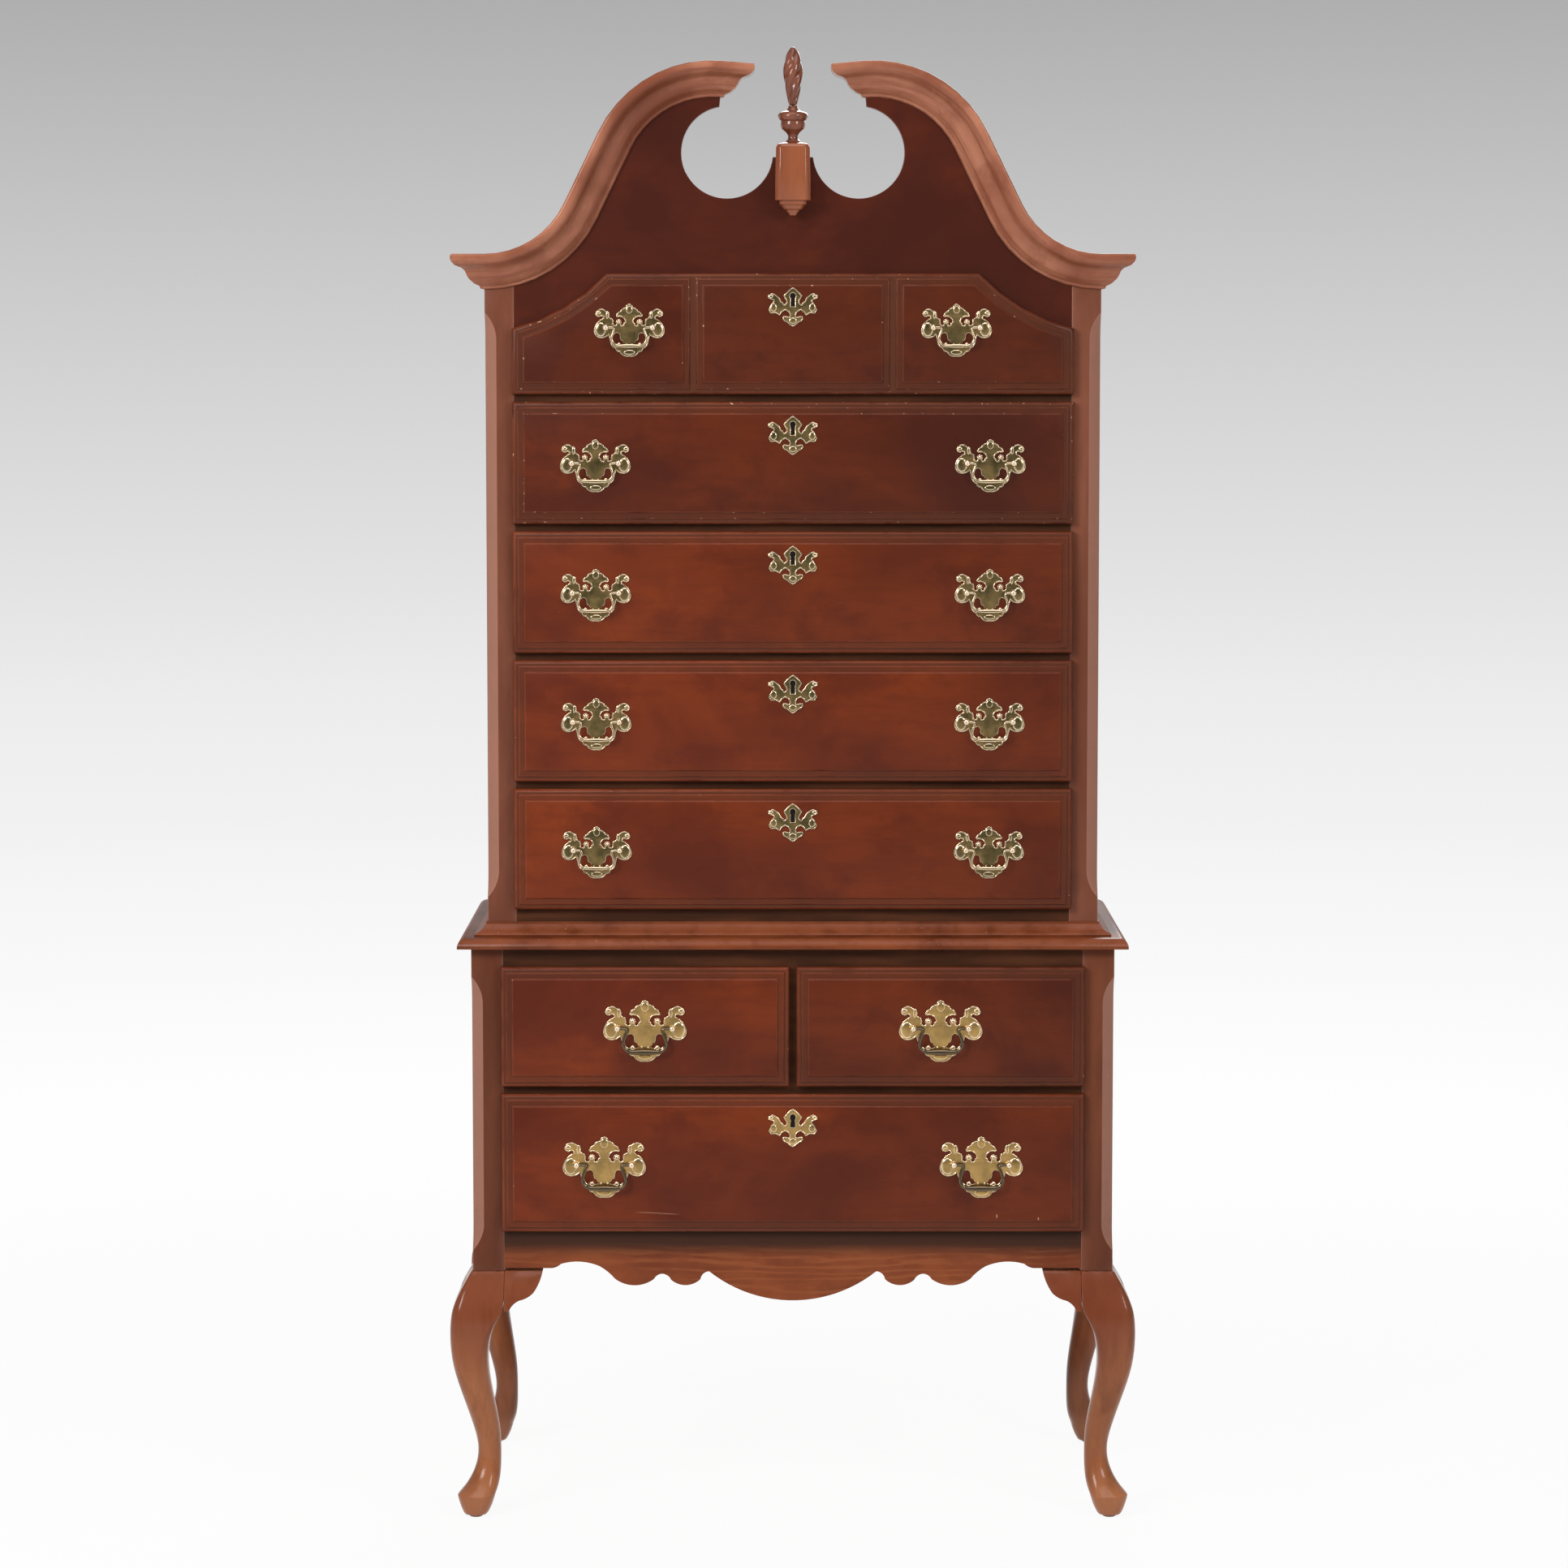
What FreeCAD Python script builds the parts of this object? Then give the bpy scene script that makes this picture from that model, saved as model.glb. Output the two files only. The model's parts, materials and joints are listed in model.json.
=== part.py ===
import FreeCAD, Part
import Sketcher
import math
import os
import re

from FreeCAD import Placement, Rotation, Vector

# A two-part highboy: a chest of five drawers with a swan-neck pediment, on a base of three
# drawers with cabriole legs.  Millimetres; +Z up, +X to the viewer's right, the front faces -Y.
# The origin lies on the floor, under the centre of the whole piece.

SIZES = {
    # base case and its top board
    "leg_height": 347,
    "base_width": 889,
    "base_depth": 457,
    "apron_rail": 62,
    "long_opening": 183,
    "small_opening": 157,
    "base_top_rail": 30,
    "top_board": 15,
    "top_overhang": 18.5,
    "top_round": 13,
    "base_post": 44,
    # chest case
    "chest_width": 845,
    "chest_depth": 432,
    "chest_bottom_rail": 42,
    "chest_opening": 157.5,
    "chest_post": 40,
    "shaped_side": 80,
    "shaped_run": 130,
    "shaped_rise": 75,
    "shaped_sag": 11,
    "frieze": 31,
    # boards, rails and runners
    "board": 19,
    "back_panel": 6,
    "post_depth": 34,
    "rail": 20,
    "rail_depth": 55,
    "runner_reach": 30,
    "guide_height": 18,
    "post_chamfer": 15.5,
    "chamfer_stop": 40,
    "chest_stop_low": 53,
    "chest_stop_high": 79,
    "base_stop_low": 29,
    "base_stop_high": 40,
    # drawers
    "lip_side": 2.5,
    "lip_edge": 5,
    "lip_gap": 0.3,
    "lip_block": 14,
    "lip_round": 6,
    "bead_inset": 7,
    "bead_rise": 3,
    "bead_round": 2.5,
    "field_inset": 15.5,
    "field_rise": 3,
    "field_chamfer": 1.8,
    "valley_offset": 136.5,
    "valley_width": 9,
    "front_core": 12,
    "front_play": 1.5,
    "slide_play": 0.3,
    "drawer_side": 12,
    "drawer_bottom": 5,
    "bottom_rise": 10,
    "bottom_groove": 5,
    "side_play": 2.5,
    "head_room": 8,
    "back_room": 14,
    # cornice and pediment
    "crown_height": 48,
    "crown_projection": 44,
    "pediment_board": 20,
    "neck_drawn_run": 371,
    "neck_rise": 260.7,
    "neck_crown": 110,
    "neck_radius": 172,
    "neck_slope": 64,
    "neck_foot_radius": 120,
    "neck_tip": 51.5,
    "board_reveal": 6,
    "eye_centre": 90,
    "eye_height": 138.6,
    "eye_radius": 62.7,
    "horn_height": 132,
    # plinth and finial
    "plinth_width": 46,
    "plinth_foot_width": 48.5,
    "plinth_depth": 40,
    "plinth_height": 79,
    "plinth_lap": 60,
    "plinth_chamfer": 6,
    "finial_height": 129,
    "cup_radius": 20.6,
    "cup_height": 49,
    "flame_radius": 13.4,
    "flame_lobes": 4,
    "flame_twist": 240,
    # mouldings
    "base_moulding": 19,
    "base_moulding_projection": 18,
    # legs
    "knee_proud": 31.5,
    "bracket_width": 53,
    "bracket_height": 52,
    "glide_radius": 9.5,
    "glide_height": 3.5,
    # brasses
    "plate": 1.6,
    "chest_bore": 64,
    "base_bore": 76.2,
    "post_reach": 9,
    "post_shank": 3,
    "post_head": 4.4,
    "pin_radius": 1.5,
    "pin_play": 0.08,
    "chest_pull_inset": 112,
    "top_pull_inset": 87,
    "top_pull_rise": 86,
    "base_pull_inset": 139.9,
    "escutcheon_drop": 46,
}

# Levels and places that follow from the sizes.
LEVELS = {
    "base_face": "-(base_depth + knee_proud - front_proud - plate - post_reach - post_head) / 2",
    "base_rear": "base_face + base_depth",
    "chest_face": "base_rear - chest_depth",
    "front_proud": "lip_gap + lip_block + bead_rise + field_rise",
    "base_half": "base_width / 2",
    "chest_half": "chest_width / 2",
    "base_clear": "base_half - base_post",
    "chest_clear": "chest_half - chest_post",
    "long_bottom": "leg_height + apron_rail",
    "small_bottom": "long_bottom + long_opening + rail",
    "base_height": "small_bottom + small_opening + base_top_rail",
    "chest_bottom": "base_height + top_board",
    "chest_first": "chest_bottom + chest_bottom_rail",
    "chest_pitch": "chest_opening + rail",
    "shaped_bottom": "chest_first + 4 * chest_pitch",
    "shaped_shoulder": "shaped_bottom + shaped_side",
    "shaped_top": "shaped_shoulder + shaped_rise",
    "chest_top": "shaped_top + frieze",
    "runner_outer_chest": "chest_half - board",
    "runner_outer_base": "base_half - board",
    # the swan necks' curves are drawn for one run from the side to the tip, and follow the chest
    "neck_share": "(chest_half - neck_tip) / neck_drawn_run",
    "plinth_low": "chest_top + horn_height * neck_share - plinth_lap",
    "chest_pull": "chest_clear - chest_pull_inset",
    "top_pull": "valley_offset + top_pull_inset",
    "base_pull": "base_clear - base_pull_inset",
}

doc = FreeCAD.newDocument("highboy")
sheet = doc.addObject("Spreadsheet::Sheet", "sizes")
for row, (alias, number) in enumerate(SIZES.items(), start=1):
    sheet.set(f"A{row}", alias)
    sheet.set(f"B{row}", str(number))
    sheet.setAlias(f"B{row}", alias)
doc.recompute()
levels = doc.addObject("App::VarSet", "levels")


def bound(text):
    """The expression with every size and level name made a reference to where it is kept."""
    def reference(match):
        word = match.group()
        if word in SIZES:
            return "sizes." + word
        return "levels." + word if word in LEVELS else word
    return re.sub(r"[a-z][a-z_]*", reference, text)


for alias in LEVELS:
    levels.addProperty("App::PropertyFloat", alias, "Levels")
for alias, text in LEVELS.items():
    levels.setExpression(alias, bound(text))
doc.recompute()


def size(alias):
    """The number behind a size or a level."""
    return getattr(levels, alias) if alias in LEVELS else float(sheet.get(alias))


def evaluated(text):
    """The value of an expression in the sizes and levels."""
    return float(sheet.evalExpression(bound(text)))


NODES = []


def node(piece, label):
    """Name a finished piece: it is exported under its label."""
    piece.Label = label
    NODES.append(piece)
    return piece


def bind(piece, **expressions):
    for path, text in expressions.items():
        piece.setExpression(path.replace("__", "."), bound(str(text)))


def board(name, x, y, z, length, width, height):
    """A board from its lowest corner and its sizes along X, Y and Z, all expressions."""
    box = doc.addObject("Part::Box", name)
    bind(box, Length=length, Width=width, Height=height)
    bind(box, Placement__Base__x=x, Placement__Base__y=y, Placement__Base__z=z)
    return box


def sided(side, outer, thickness):
    """Lowest X of a board whose outer face is `outer` from the middle, on side -1 or +1."""
    return f"-({outer})" if side < 0 else f"{outer} - ({thickness})"


def group(label, members):
    """Several separate pieces kept under one name."""
    compound = doc.addObject("Part::Compound", label)
    compound.Links = members
    return node(compound, label)


def new_body(name, x="0", y="0", z="0"):
    body = doc.addObject("PartDesign::Body", name)
    bind(body, Placement__Base__x=x, Placement__Base__y=y, Placement__Base__z=z)
    return body


def sketch_on(body, plane, name, offset="0", turn=0):
    """A sketch on one of the body's own planes, moved along its normal."""
    sketch = body.newObject("Sketcher::SketchObject", name)
    origin = next(item for item in body.Origin.OriginFeatures if item.Role == plane)
    sketch.AttachmentSupport = [(origin, "")]
    sketch.MapMode = "FlatFace"
    sketch.AttachmentOffset = Placement(Vector(), Rotation(Vector(0, 1, 0), turn))
    bind(sketch, AttachmentOffset__Base__z=offset)
    return sketch


def rectangle(sketch, x, z, width, height):
    """A rectangle from its lowest corner, its place and size bound to expressions."""
    corners = [Vector(0, 0), Vector(10, 0), Vector(10, 10), Vector(0, 10)]
    for start, end in zip(corners, corners[1:] + corners[:1]):
        sketch.addGeometry(Part.LineSegment(start, end), False)
    for line in range(4):
        sketch.addConstraint(Sketcher.Constraint("Coincident", line, 2, (line + 1) % 4, 1))
    for line, way in enumerate(("Horizontal", "Vertical", "Horizontal", "Vertical")):
        sketch.addConstraint(Sketcher.Constraint(way, line))
    driven = [
        ("width", Sketcher.Constraint("DistanceX", 0, 1, 0, 2, 10), width),
        ("height", Sketcher.Constraint("DistanceY", 1, 1, 1, 2, 10), height),
        ("left", Sketcher.Constraint("DistanceX", -1, 1, 0, 1, 1), x),
        ("low", Sketcher.Constraint("DistanceY", -1, 1, 0, 1, 1), z),
    ]
    for name, constraint, text in driven:
        index = sketch.addConstraint(constraint)
        sketch.renameConstraint(index, name)
        sketch.setExpression(f"Constraints.{name}", bound(text))


def closed_outline(sketch, path):
    """Draw a closed outline: each entry is (x, z) or (x, z, rise), where rise is how far the arc
    to the next point stands out on the left of the way to it."""
    points = [Vector(entry[0], entry[1]) for entry in path]
    for index, entry in enumerate(path):
        sketch.addGeometry(edge_curve(points, index, entry), False)


def edge_curve(points, index, entry):
    start = points[index]
    end = points[(index + 1) % len(points)]
    if len(entry) < 3 or not entry[2]:
        return Part.LineSegment(start, end)
    left = Vector(start.y - end.y, end.x - start.x).normalize()
    return Part.Arc(start, (start + end) * 0.5 + left * entry[2], end)


def pad(body, sketch, length, name, reverse=False):
    feature = body.newObject("PartDesign::Pad", name)
    feature.Profile = sketch
    feature.Reversed = reverse
    bind(feature, Length=length)
    body.Tip = feature
    return feature


def pocket(body, sketch, length, name, midplane=False, reverse=False):
    feature = body.newObject("PartDesign::Pocket", name)
    feature.Profile = sketch
    feature.Midplane = midplane
    feature.Reversed = reverse
    bind(feature, Length=length)
    body.Tip = feature
    return feature


def edges_where(shape, test):
    """Names of the edges whose vertices and middle all pass the test."""
    names = []
    for index, edge in enumerate(shape.Edges, start=1):
        middle = edge.valueAt((edge.FirstParameter + edge.LastParameter) / 2)
        if all(test(point) for point in [middle] + [vertex.Point for vertex in edge.Vertexes]):
            names.append(f"Edge{index}")
    return names


def soften(body, kind, base, test, name, **amount):
    """A Fillet or Chamfer on the base feature's edges that pass the test."""
    doc.recompute()
    feature = body.newObject("PartDesign::" + kind, name)
    feature.Base = (base, edges_where(base.Shape, test))
    bind(feature, **amount)
    body.Tip = feature
    return feature


def feature(name, shape):
    piece = doc.addObject("Part::Feature", name)
    piece.Shape = shape
    return piece


# ---------------------------------------------------------------- case work

SIDES = {"left": -1, "right": 1}
FLUSH = 0.01
FLAT = 0.001
STOP_CURVE = 0.08  # rise of a chamfer stop's curve, against its length
SHAPED_CHORDS = 4


def chamfered_post(name, side, half, width, face, low, high, stop_low, stop_high):
    """A front post whose outer front corner has a stopped chamfer with curved stops."""
    body = new_body(name, sided(side, half, width), face, low)
    plan = sketch_on(body, "XY_Plane", name + "_plan")
    rectangle(plan, "0", "0", width, "post_depth")
    pad(body, plan, f"{high} - {low}", name + "_post")
    # the chamfer is drawn on the corner's diagonal plane and cut through to both sides
    inward = -side
    cut = sketch_on(body, "XZ_Plane", name + "_chamfer_profile", turn=45 * inward)
    cut.AttachmentOffset = Placement(Vector(0 if side < 0 else size(width), 0, 0),
                                     Rotation(Vector(0, 1, 0), 45 * inward))
    depth = size("post_chamfer") / math.sqrt(2) * inward
    stop = size("chamfer_stop")
    low_end = size(stop_low)
    high_end = size(high) - size(low) - size(stop_high)
    round_out = -inward * STOP_CURVE * stop
    closed_outline(cut, [
        (-depth, low_end), (0, low_end, round_out), (depth, low_end + stop),
        (depth, high_end - stop, round_out), (0, high_end), (-depth, high_end)])
    pocket(body, cut, "4 * post_chamfer", name + "_chamfer", midplane=True)
    return body


def web_frame(name, clear, outer, face, rear, top, rail_height, rail_low):
    """A drawer's frame: front rail, two runners with guides on them, and a rear rail."""
    pieces = [
        board(name + "_front_rail", f"-{clear}", face, rail_low, f"2 * {clear}", "rail_depth",
              rail_height),
        board(name + "_rear_rail", f"-{outer}", f"{rear} - back_panel - rail_depth",
              f"{top} - rail", f"2 * {outer}", "rail_depth", "rail"),
    ]
    run = f"{rear} - back_panel - 2 * rail_depth - {face}"
    for side_name, side in SIDES.items():
        reach = f"({outer} - {clear} + runner_reach)"
        pieces.append(board(f"{name}_{side_name}_runner", sided(side, outer, reach),
                            f"{face} + rail_depth", f"{top} - rail", reach, run, "rail"))
        guide = f"({outer} - {clear})"
        pieces.append(board(f"{name}_{side_name}_guide", sided(side, outer, guide),
                            f"{face} + rail_depth", top, guide, run, "guide_height"))
    return pieces


def chest_case():
    boards = [board(f"chest_{name}_side", sided(side, "chest_half", "board"),
                    "chest_face + post_depth", "chest_bottom", "board",
                    "chest_depth - post_depth", "chest_top - chest_bottom")
              for name, side in SIDES.items()]
    group("chest_sides", boards)
    group("chest_posts", [chamfered_post(f"chest_{name}_post", side, "chest_half", "chest_post",
                                         "chest_face", "chest_bottom", "chest_top",
                                         "chest_stop_low", "chest_stop_high")
                          for name, side in SIDES.items()])
    node(board("chest_back_panel", "-(chest_half - board)", "base_rear - back_panel",
               "chest_bottom", "chest_width - 2 * board", "back_panel",
               "chest_top - chest_bottom"), "chest_back")
    node(board("chest_top_board", "-(chest_half - board)", "chest_face + post_depth",
               "chest_top - board", "chest_width - 2 * board",
               "chest_depth - post_depth - back_panel", "board"), "chest_top")
    frames = []
    for index in range(5):
        top = f"(chest_first + {index} * chest_pitch)"
        low = "chest_bottom" if index == 0 else f"{top} - rail"
        height = "chest_bottom_rail" if index == 0 else "rail"
        frames += web_frame(f"chest_frame_{index + 1}", "chest_clear", "runner_outer_chest",
                            "chest_face", "base_rear", top, height, low)
    group("chest_frames", frames)


def base_case():
    for_sides = [board(f"base_{name}_side", sided(side, "base_half", "board"),
                       "base_face + post_depth", "leg_height", "board",
                       "base_depth - 2 * post_depth", "base_height - leg_height")
                 for name, side in SIDES.items()]
    group("base_sides", for_sides)
    posts = [chamfered_post(f"base_{name}_post", side, "base_half", "base_post", "base_face",
                            "leg_height", "base_height", "base_stop_low", "base_stop_high")
             for name, side in SIDES.items()]
    posts += [board(f"base_rear_{name}_post", sided(side, "base_half", "base_post"),
                    "base_rear - post_depth", "leg_height", "base_post", "post_depth",
                    "base_height - leg_height") for name, side in SIDES.items()]
    group("base_posts", posts)
    node(board("base_back_panel", "-base_clear", "base_rear - back_panel", "leg_height",
               "2 * base_clear", "back_panel", "base_height - leg_height"), "base_back")

    outer = "runner_outer_base"
    run = "base_depth - 2 * post_depth"
    behind = "base_face + post_depth"
    pieces = [
        board("base_top_front_rail", "-base_clear", "base_face", "base_height - base_top_rail",
              "2 * base_clear", "rail_depth", "base_top_rail"),
        board("base_top_rear_rail", "-base_clear", "base_rear - back_panel - rail_depth",
              "base_height - rail", "2 * base_clear", "rail_depth", "rail"),
        board("base_middle_rail", "-base_clear", "base_face", "small_bottom - rail",
              "2 * base_clear", "rail_depth", "rail"),
        board("base_divider", "-rail / 2", "base_face", "small_bottom", "rail", "rail_depth",
              "small_opening"),
        board("base_centre_runner", "-(rail / 2 + runner_reach)", "base_face + rail_depth",
              "small_bottom - rail", "rail + 2 * runner_reach",
              "base_depth - 2 * rail_depth - back_panel", "rail"),
        board("base_centre_guide", "-rail / 2", "base_face + rail_depth", "small_bottom", "rail",
              "base_depth - 2 * rail_depth - back_panel", "guide_height"),
    ]
    for level, low in (("small", "small_bottom"), ("long", "long_bottom")):
        pieces.append(board(f"base_{level}_rear_rail", "-base_clear",
                            "base_rear - back_panel - rail_depth", f"{low} - rail",
                            "2 * base_clear", "rail_depth", "rail"))
        for name, side in SIDES.items():
            reach = f"({outer} - base_clear + runner_reach)"
            pieces.append(board(f"base_{level}_{name}_runner", sided(side, outer, reach),
                                "base_face + rail_depth", f"{low} - rail", reach,
                                "base_depth - 2 * rail_depth - back_panel", "rail"))
            guide = f"({outer} - base_clear)"
            pieces.append(board(f"base_{level}_{name}_guide", sided(side, outer, guide),
                                "base_face + rail_depth", low, guide,
                                "base_depth - rail_depth - post_depth - back_panel",
                                "guide_height"))
    group("base_frames", pieces)


def base_top():
    """The base's top board, rounded over at the front and the sides."""
    body = new_body("base_top_board", "0", "base_face - top_overhang", "base_height")
    plan = sketch_on(body, "XY_Plane", "base_top_plan")
    rectangle(plan, "-(base_half + top_overhang)", "0", "base_width + 2 * top_overhang",
              "base_depth + top_overhang")
    slab = pad(body, plan, "top_board", "base_top_slab")

    def moulded(point):
        at_front = point.y < FLUSH
        at_side = abs(point.x) > size("base_half") + size("top_overhang") - FLUSH
        return point.z > size("top_board") - FLUSH and (at_front or at_side)

    soften(body, "Fillet", slab, moulded, "base_top_rounding", Radius="top_round")
    node(body, "base_top")


# ---------------------------------------------------------------- apron and legs

# The apron's lower edge from the middle to the right: place as a share of the way to the post,
# height against the case's lower edge, and how far the arc to the next point bulges downward.
APRON_EDGE = [
    (0, -42, 0), (0.290, -1, -3.0), (0.320, -12, 8.0), (0.422, -13, -2.5), (0.456, -4.5, -1.5),
    (0.482, -12, 9.0), (0.617, -11.5, -1.2), (0.669, 6, -4.8), (0.804, 9.5, 1.2),
    (0.836, 3.5, 0)]


def apron():
    """The front apron with its scalloped lower edge."""
    clear = size("base_clear")
    low = size("leg_height")
    centre_rise = APRON_EDGE[1][1] - APRON_EDGE[0][1]
    right = [(share * clear, low + z, rise) for share, z, rise in APRON_EDGE[1:]]
    across = [(-x, z) for x, z, _ in reversed(right)]
    rises = [rise for _, _, rise in reversed(right[:-1])]
    left = [point + (rise,) for point, rise in zip(across, rises + [centre_rise])]
    flat = right[-1][1]
    top = size("long_bottom")
    body = new_body("apron_board", "0", "base_face", "0")
    sketch = sketch_on(body, "XZ_Plane", "apron_outline")
    outward = [(x, z, -rise) for x, z, rise in left + right]
    closed_outline(sketch, [(-clear, top), (-clear, flat)] + outward + [(clear, flat), (clear, top)])
    pad(body, sketch, "board", "apron_pad", reverse=True)
    node(body, "front_apron")


# Stations of the cabriole leg, from its top down: share of the height above the glide, how far
# the outer side stands proud of the case as a share of the knee's, how far the inner side lies
# within the case as a share of the post, and the corner's rounding as a share of half the width.
LEG_STATIONS = [
    (1.000, 0.06, 1.00, 0.16), (0.925, 0.56, 0.98, 0.26), (0.845, 0.90, 0.90, 0.38),
    (0.745, 1.00, 0.64, 0.55), (0.620, 0.91, 0.52, 0.70), (0.475, 0.45, 0.68, 0.84),
    (0.345, 0.00, 0.83, 0.94), (0.258, -0.21, 0.84, 0.96), (0.182, -0.05, 0.84, 0.94),
    (0.121, 0.30, 0.79, 0.88), (0.081, 0.73, 0.67, 0.76), (0.045, 0.64, 0.60, 0.78),
    (0.000, 0.46, 0.43, 0.86)]
CORNER_FLATS = 2


def around(angle, radius):
    return Vector(math.cos(math.radians(angle)) * radius, math.sin(math.radians(angle)) * radius)


def flat_faces(corners):
    """One flat face through three or four corners, or two triangles when four are not flat."""
    if len(corners) < 3:
        return []
    normal = (corners[1] - corners[0]).cross(corners[2] - corners[0]).normalize()
    if len(corners) == 3 or abs((corners[3] - corners[0]).dot(normal)) < FLAT:
        return [Part.Face(Part.makePolygon(corners + corners[:1]))]
    halves = (corners[:3], corners[2:] + corners[:1])
    return [Part.Face(Part.makePolygon(half + half[:1])) for half in halves]


def flat_loft(rings):
    """A solid through closed rings of points, each ring with as many points as the next."""
    faces = [Part.Face(Part.makePolygon(ring + ring[:1])) for ring in (rings[0], rings[-1])]
    for lower, upper in zip(rings, rings[1:]):
        for index in range(len(lower)):
            after = (index + 1) % len(lower)
            corners = []
            for point in (lower[index], lower[after], upper[after], upper[index]):
                if all(point.distanceToPoint(other) > FLAT for other in corners):
                    corners.append(point)
            faces += flat_faces(corners)
    shell = Part.makeShell(faces)
    shell.sewShape()
    solid = Part.makeSolid(shell)
    if solid.Volume < 0:
        solid.reverse()
    return solid


def leg_reach(station):
    """How far the leg stands proud of the case and lies within it, at one station."""
    return station[1] * size("knee_proud"), station[2] * size("base_post")


def leg_level(share):
    return size("glide_height") + share * (size("leg_height") - size("glide_height"))


def leg_ring(station, corner_x, corner_y, sx, sy):
    """The leg's section at one station: a square with rounded corners, in short flats."""
    proud, within = leg_reach(station)
    half = (proud + within) / 2
    middle = (within - proud) / 2
    radius = half * station[3]
    centre = Vector(corner_x - sx * middle, corner_y - sy * middle, leg_level(station[0]))
    ring = []
    for quarter in range(4):
        away = Rotation(Vector(0, 0, 1), 45 + 90 * quarter).multVec(
            Vector(math.sqrt(2) * (half - radius), 0))
        for step in range(CORNER_FLATS + 1):
            angle = 90 * (quarter + step / CORNER_FLATS)
            ring.append(centre + away + around(angle, radius))
    return ring


def leg(label, sx, sy):
    """A cabriole leg under the post at one corner: shank, pad foot and glide."""
    corner_x = sx * size("base_half")
    corner_y = size("base_face") if sy < 0 else size("base_rear")
    rings = [leg_ring(station, corner_x, corner_y, sx, sy) for station in LEG_STATIONS]
    shank = feature(label + "_shank", flat_loft(rings))
    proud, within = leg_reach(LEG_STATIONS[-1])
    inset = (within - proud) / 2
    glide = doc.addObject("Part::Cylinder", label + "_glide")
    bind(glide, Radius="glide_radius", Height="glide_height")
    glide.Placement.Base = Vector(corner_x - sx * inset, corner_y - sy * inset, 0)
    group(label, [shank, glide])


def legs():
    for end_name, sy in (("front", -1), ("rear", 1)):
        for side_name, side in SIDES.items():
            leg(f"{end_name}_{side_name}_leg", side, sy)


def outline_wire(path):
    points = [Vector(entry[0], entry[1]) for entry in path]
    return Part.Wire([edge_curve(points, index, entry).toShape()
                      for index, entry in enumerate(path)])


def upright(shape):
    """Stand a shape drawn in the XY plane up: its Y becomes height, its +Z becomes -Y."""
    turned = shape.copy()
    turned.rotate(Vector(), Vector(1, 0, 0), 90)
    return turned


def moved(shape, x, y, z):
    copy = shape.copy()
    copy.translate(Vector(x, y, z))
    return copy


def mirrored(shape):
    """The same piece for the other side of the highboy."""
    return shape.mirror(Vector(), Vector(1, 0, 0))


# A knee bracket's outline from the case down, as shares of its width and height, with the rise
# of the arc to the next point.
BRACKET_OGEE = [(0, 0), (1, 0, 2.0), (0.755, -0.55, 1.5), (0.40, -0.73, -2.0), (0.13, -1), (0, -1)]
BRACKET_BACK = 24  # thickness behind the case's face


def knee_bracket():
    """A bracket seen from the front: its ogee runs in X, its front bulges as the knee does.
    The origin is at the joint with the case, beside the leg, on the case's face."""
    width = size("bracket_width")
    tall = size("bracket_height")
    thick = BRACKET_BACK
    ogee = outline_wire([(x * width, z * tall, *rise) for x, z, *rise in BRACKET_OGEE])
    front = moved(upright(Part.Face(ogee).extrude(Vector(0, 0, 4 * thick))), 0, 2 * thick, 0)
    bulge = [(-leg_reach(station)[0], leg_level(station[0]) - size("leg_height"))
             for station in LEG_STATIONS[:3]]
    knee = outline_wire([(thick, 0), bulge[0], bulge[1], bulge[2], (thick, bulge[2][1])])
    side = upright(Part.Face(knee).extrude(Vector(0, 0, width)))
    side.rotate(Vector(), Vector(0, 0, 1), 90)
    return front.common(side)


def knee_brackets():
    """Two brackets beside each leg: one along the front or back, one along the side."""
    bracket = knee_bracket()
    post = size("base_post")
    left = []
    front_run = bracket
    side_run = mirrored(bracket)
    side_run.rotate(Vector(), Vector(0, 0, 1), -90)
    clear = size("base_clear")
    half = size("base_half")
    top = size("leg_height")
    front = size("base_face")
    rear = size("base_rear")
    flip = Vector(0, 1, 0)
    left.append(moved(front_run, -clear, front, top))
    left.append(moved(side_run, -half, front + post, top))
    left.append(moved(front_run.mirror(Vector(), flip), -clear, rear, top))
    left.append(moved(side_run.mirror(Vector(), flip), -half, rear - post, top))
    pieces = left + [mirrored(piece) for piece in left]
    node(feature("bracket_set", Part.makeCompound(pieces)), "knee_brackets")


# ---------------------------------------------------------------- pediment and cornice

def drawn(alias):
    """A size of the pediment's curves, fitted to the chest's width."""
    return size(alias) * size("neck_share")


def neck_geometry():
    """Centres and tangent points of the left swan neck's upper edge, in the board's plane."""
    top = size("chest_top")
    radius = drawn("neck_radius")
    foot = drawn("neck_foot_radius")
    slope = math.radians(size("neck_slope"))
    tip = size("neck_tip")
    crown = Vector(-tip - drawn("neck_crown") + drawn("neck_tip"), top + drawn("neck_rise") - radius)
    upper = crown + Vector(-math.sin(slope), math.cos(slope)) * radius
    rise = upper.y - (top + foot * (1 - math.cos(slope)))
    lower = Vector(upper.x - rise / math.tan(slope), upper.y - rise)
    foot_centre = Vector(lower.x - foot * math.sin(slope), top + foot)
    reach = -tip - crown.x
    projection = size("crown_projection")
    end = (math.asin(reach / math.hypot(radius, projection))
           - math.atan2(projection, radius))
    along = Vector(math.cos(end), -math.sin(end))
    inner = crown + Vector(math.sin(end), math.cos(end)) * radius
    return {"crown": crown, "upper": upper, "lower": lower, "foot": foot_centre,
            "end": end, "along": along, "down": Vector(-math.sin(end), -math.cos(end)),
            "inner": inner, "slope": slope}


def middle_of_arc(centre, start, end):
    """The middle point of the shorter arc about a centre, from start to end."""
    way = (start - centre).normalize() + (end - centre).normalize()
    return centre + way.normalize() * (start - centre).Length


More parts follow.
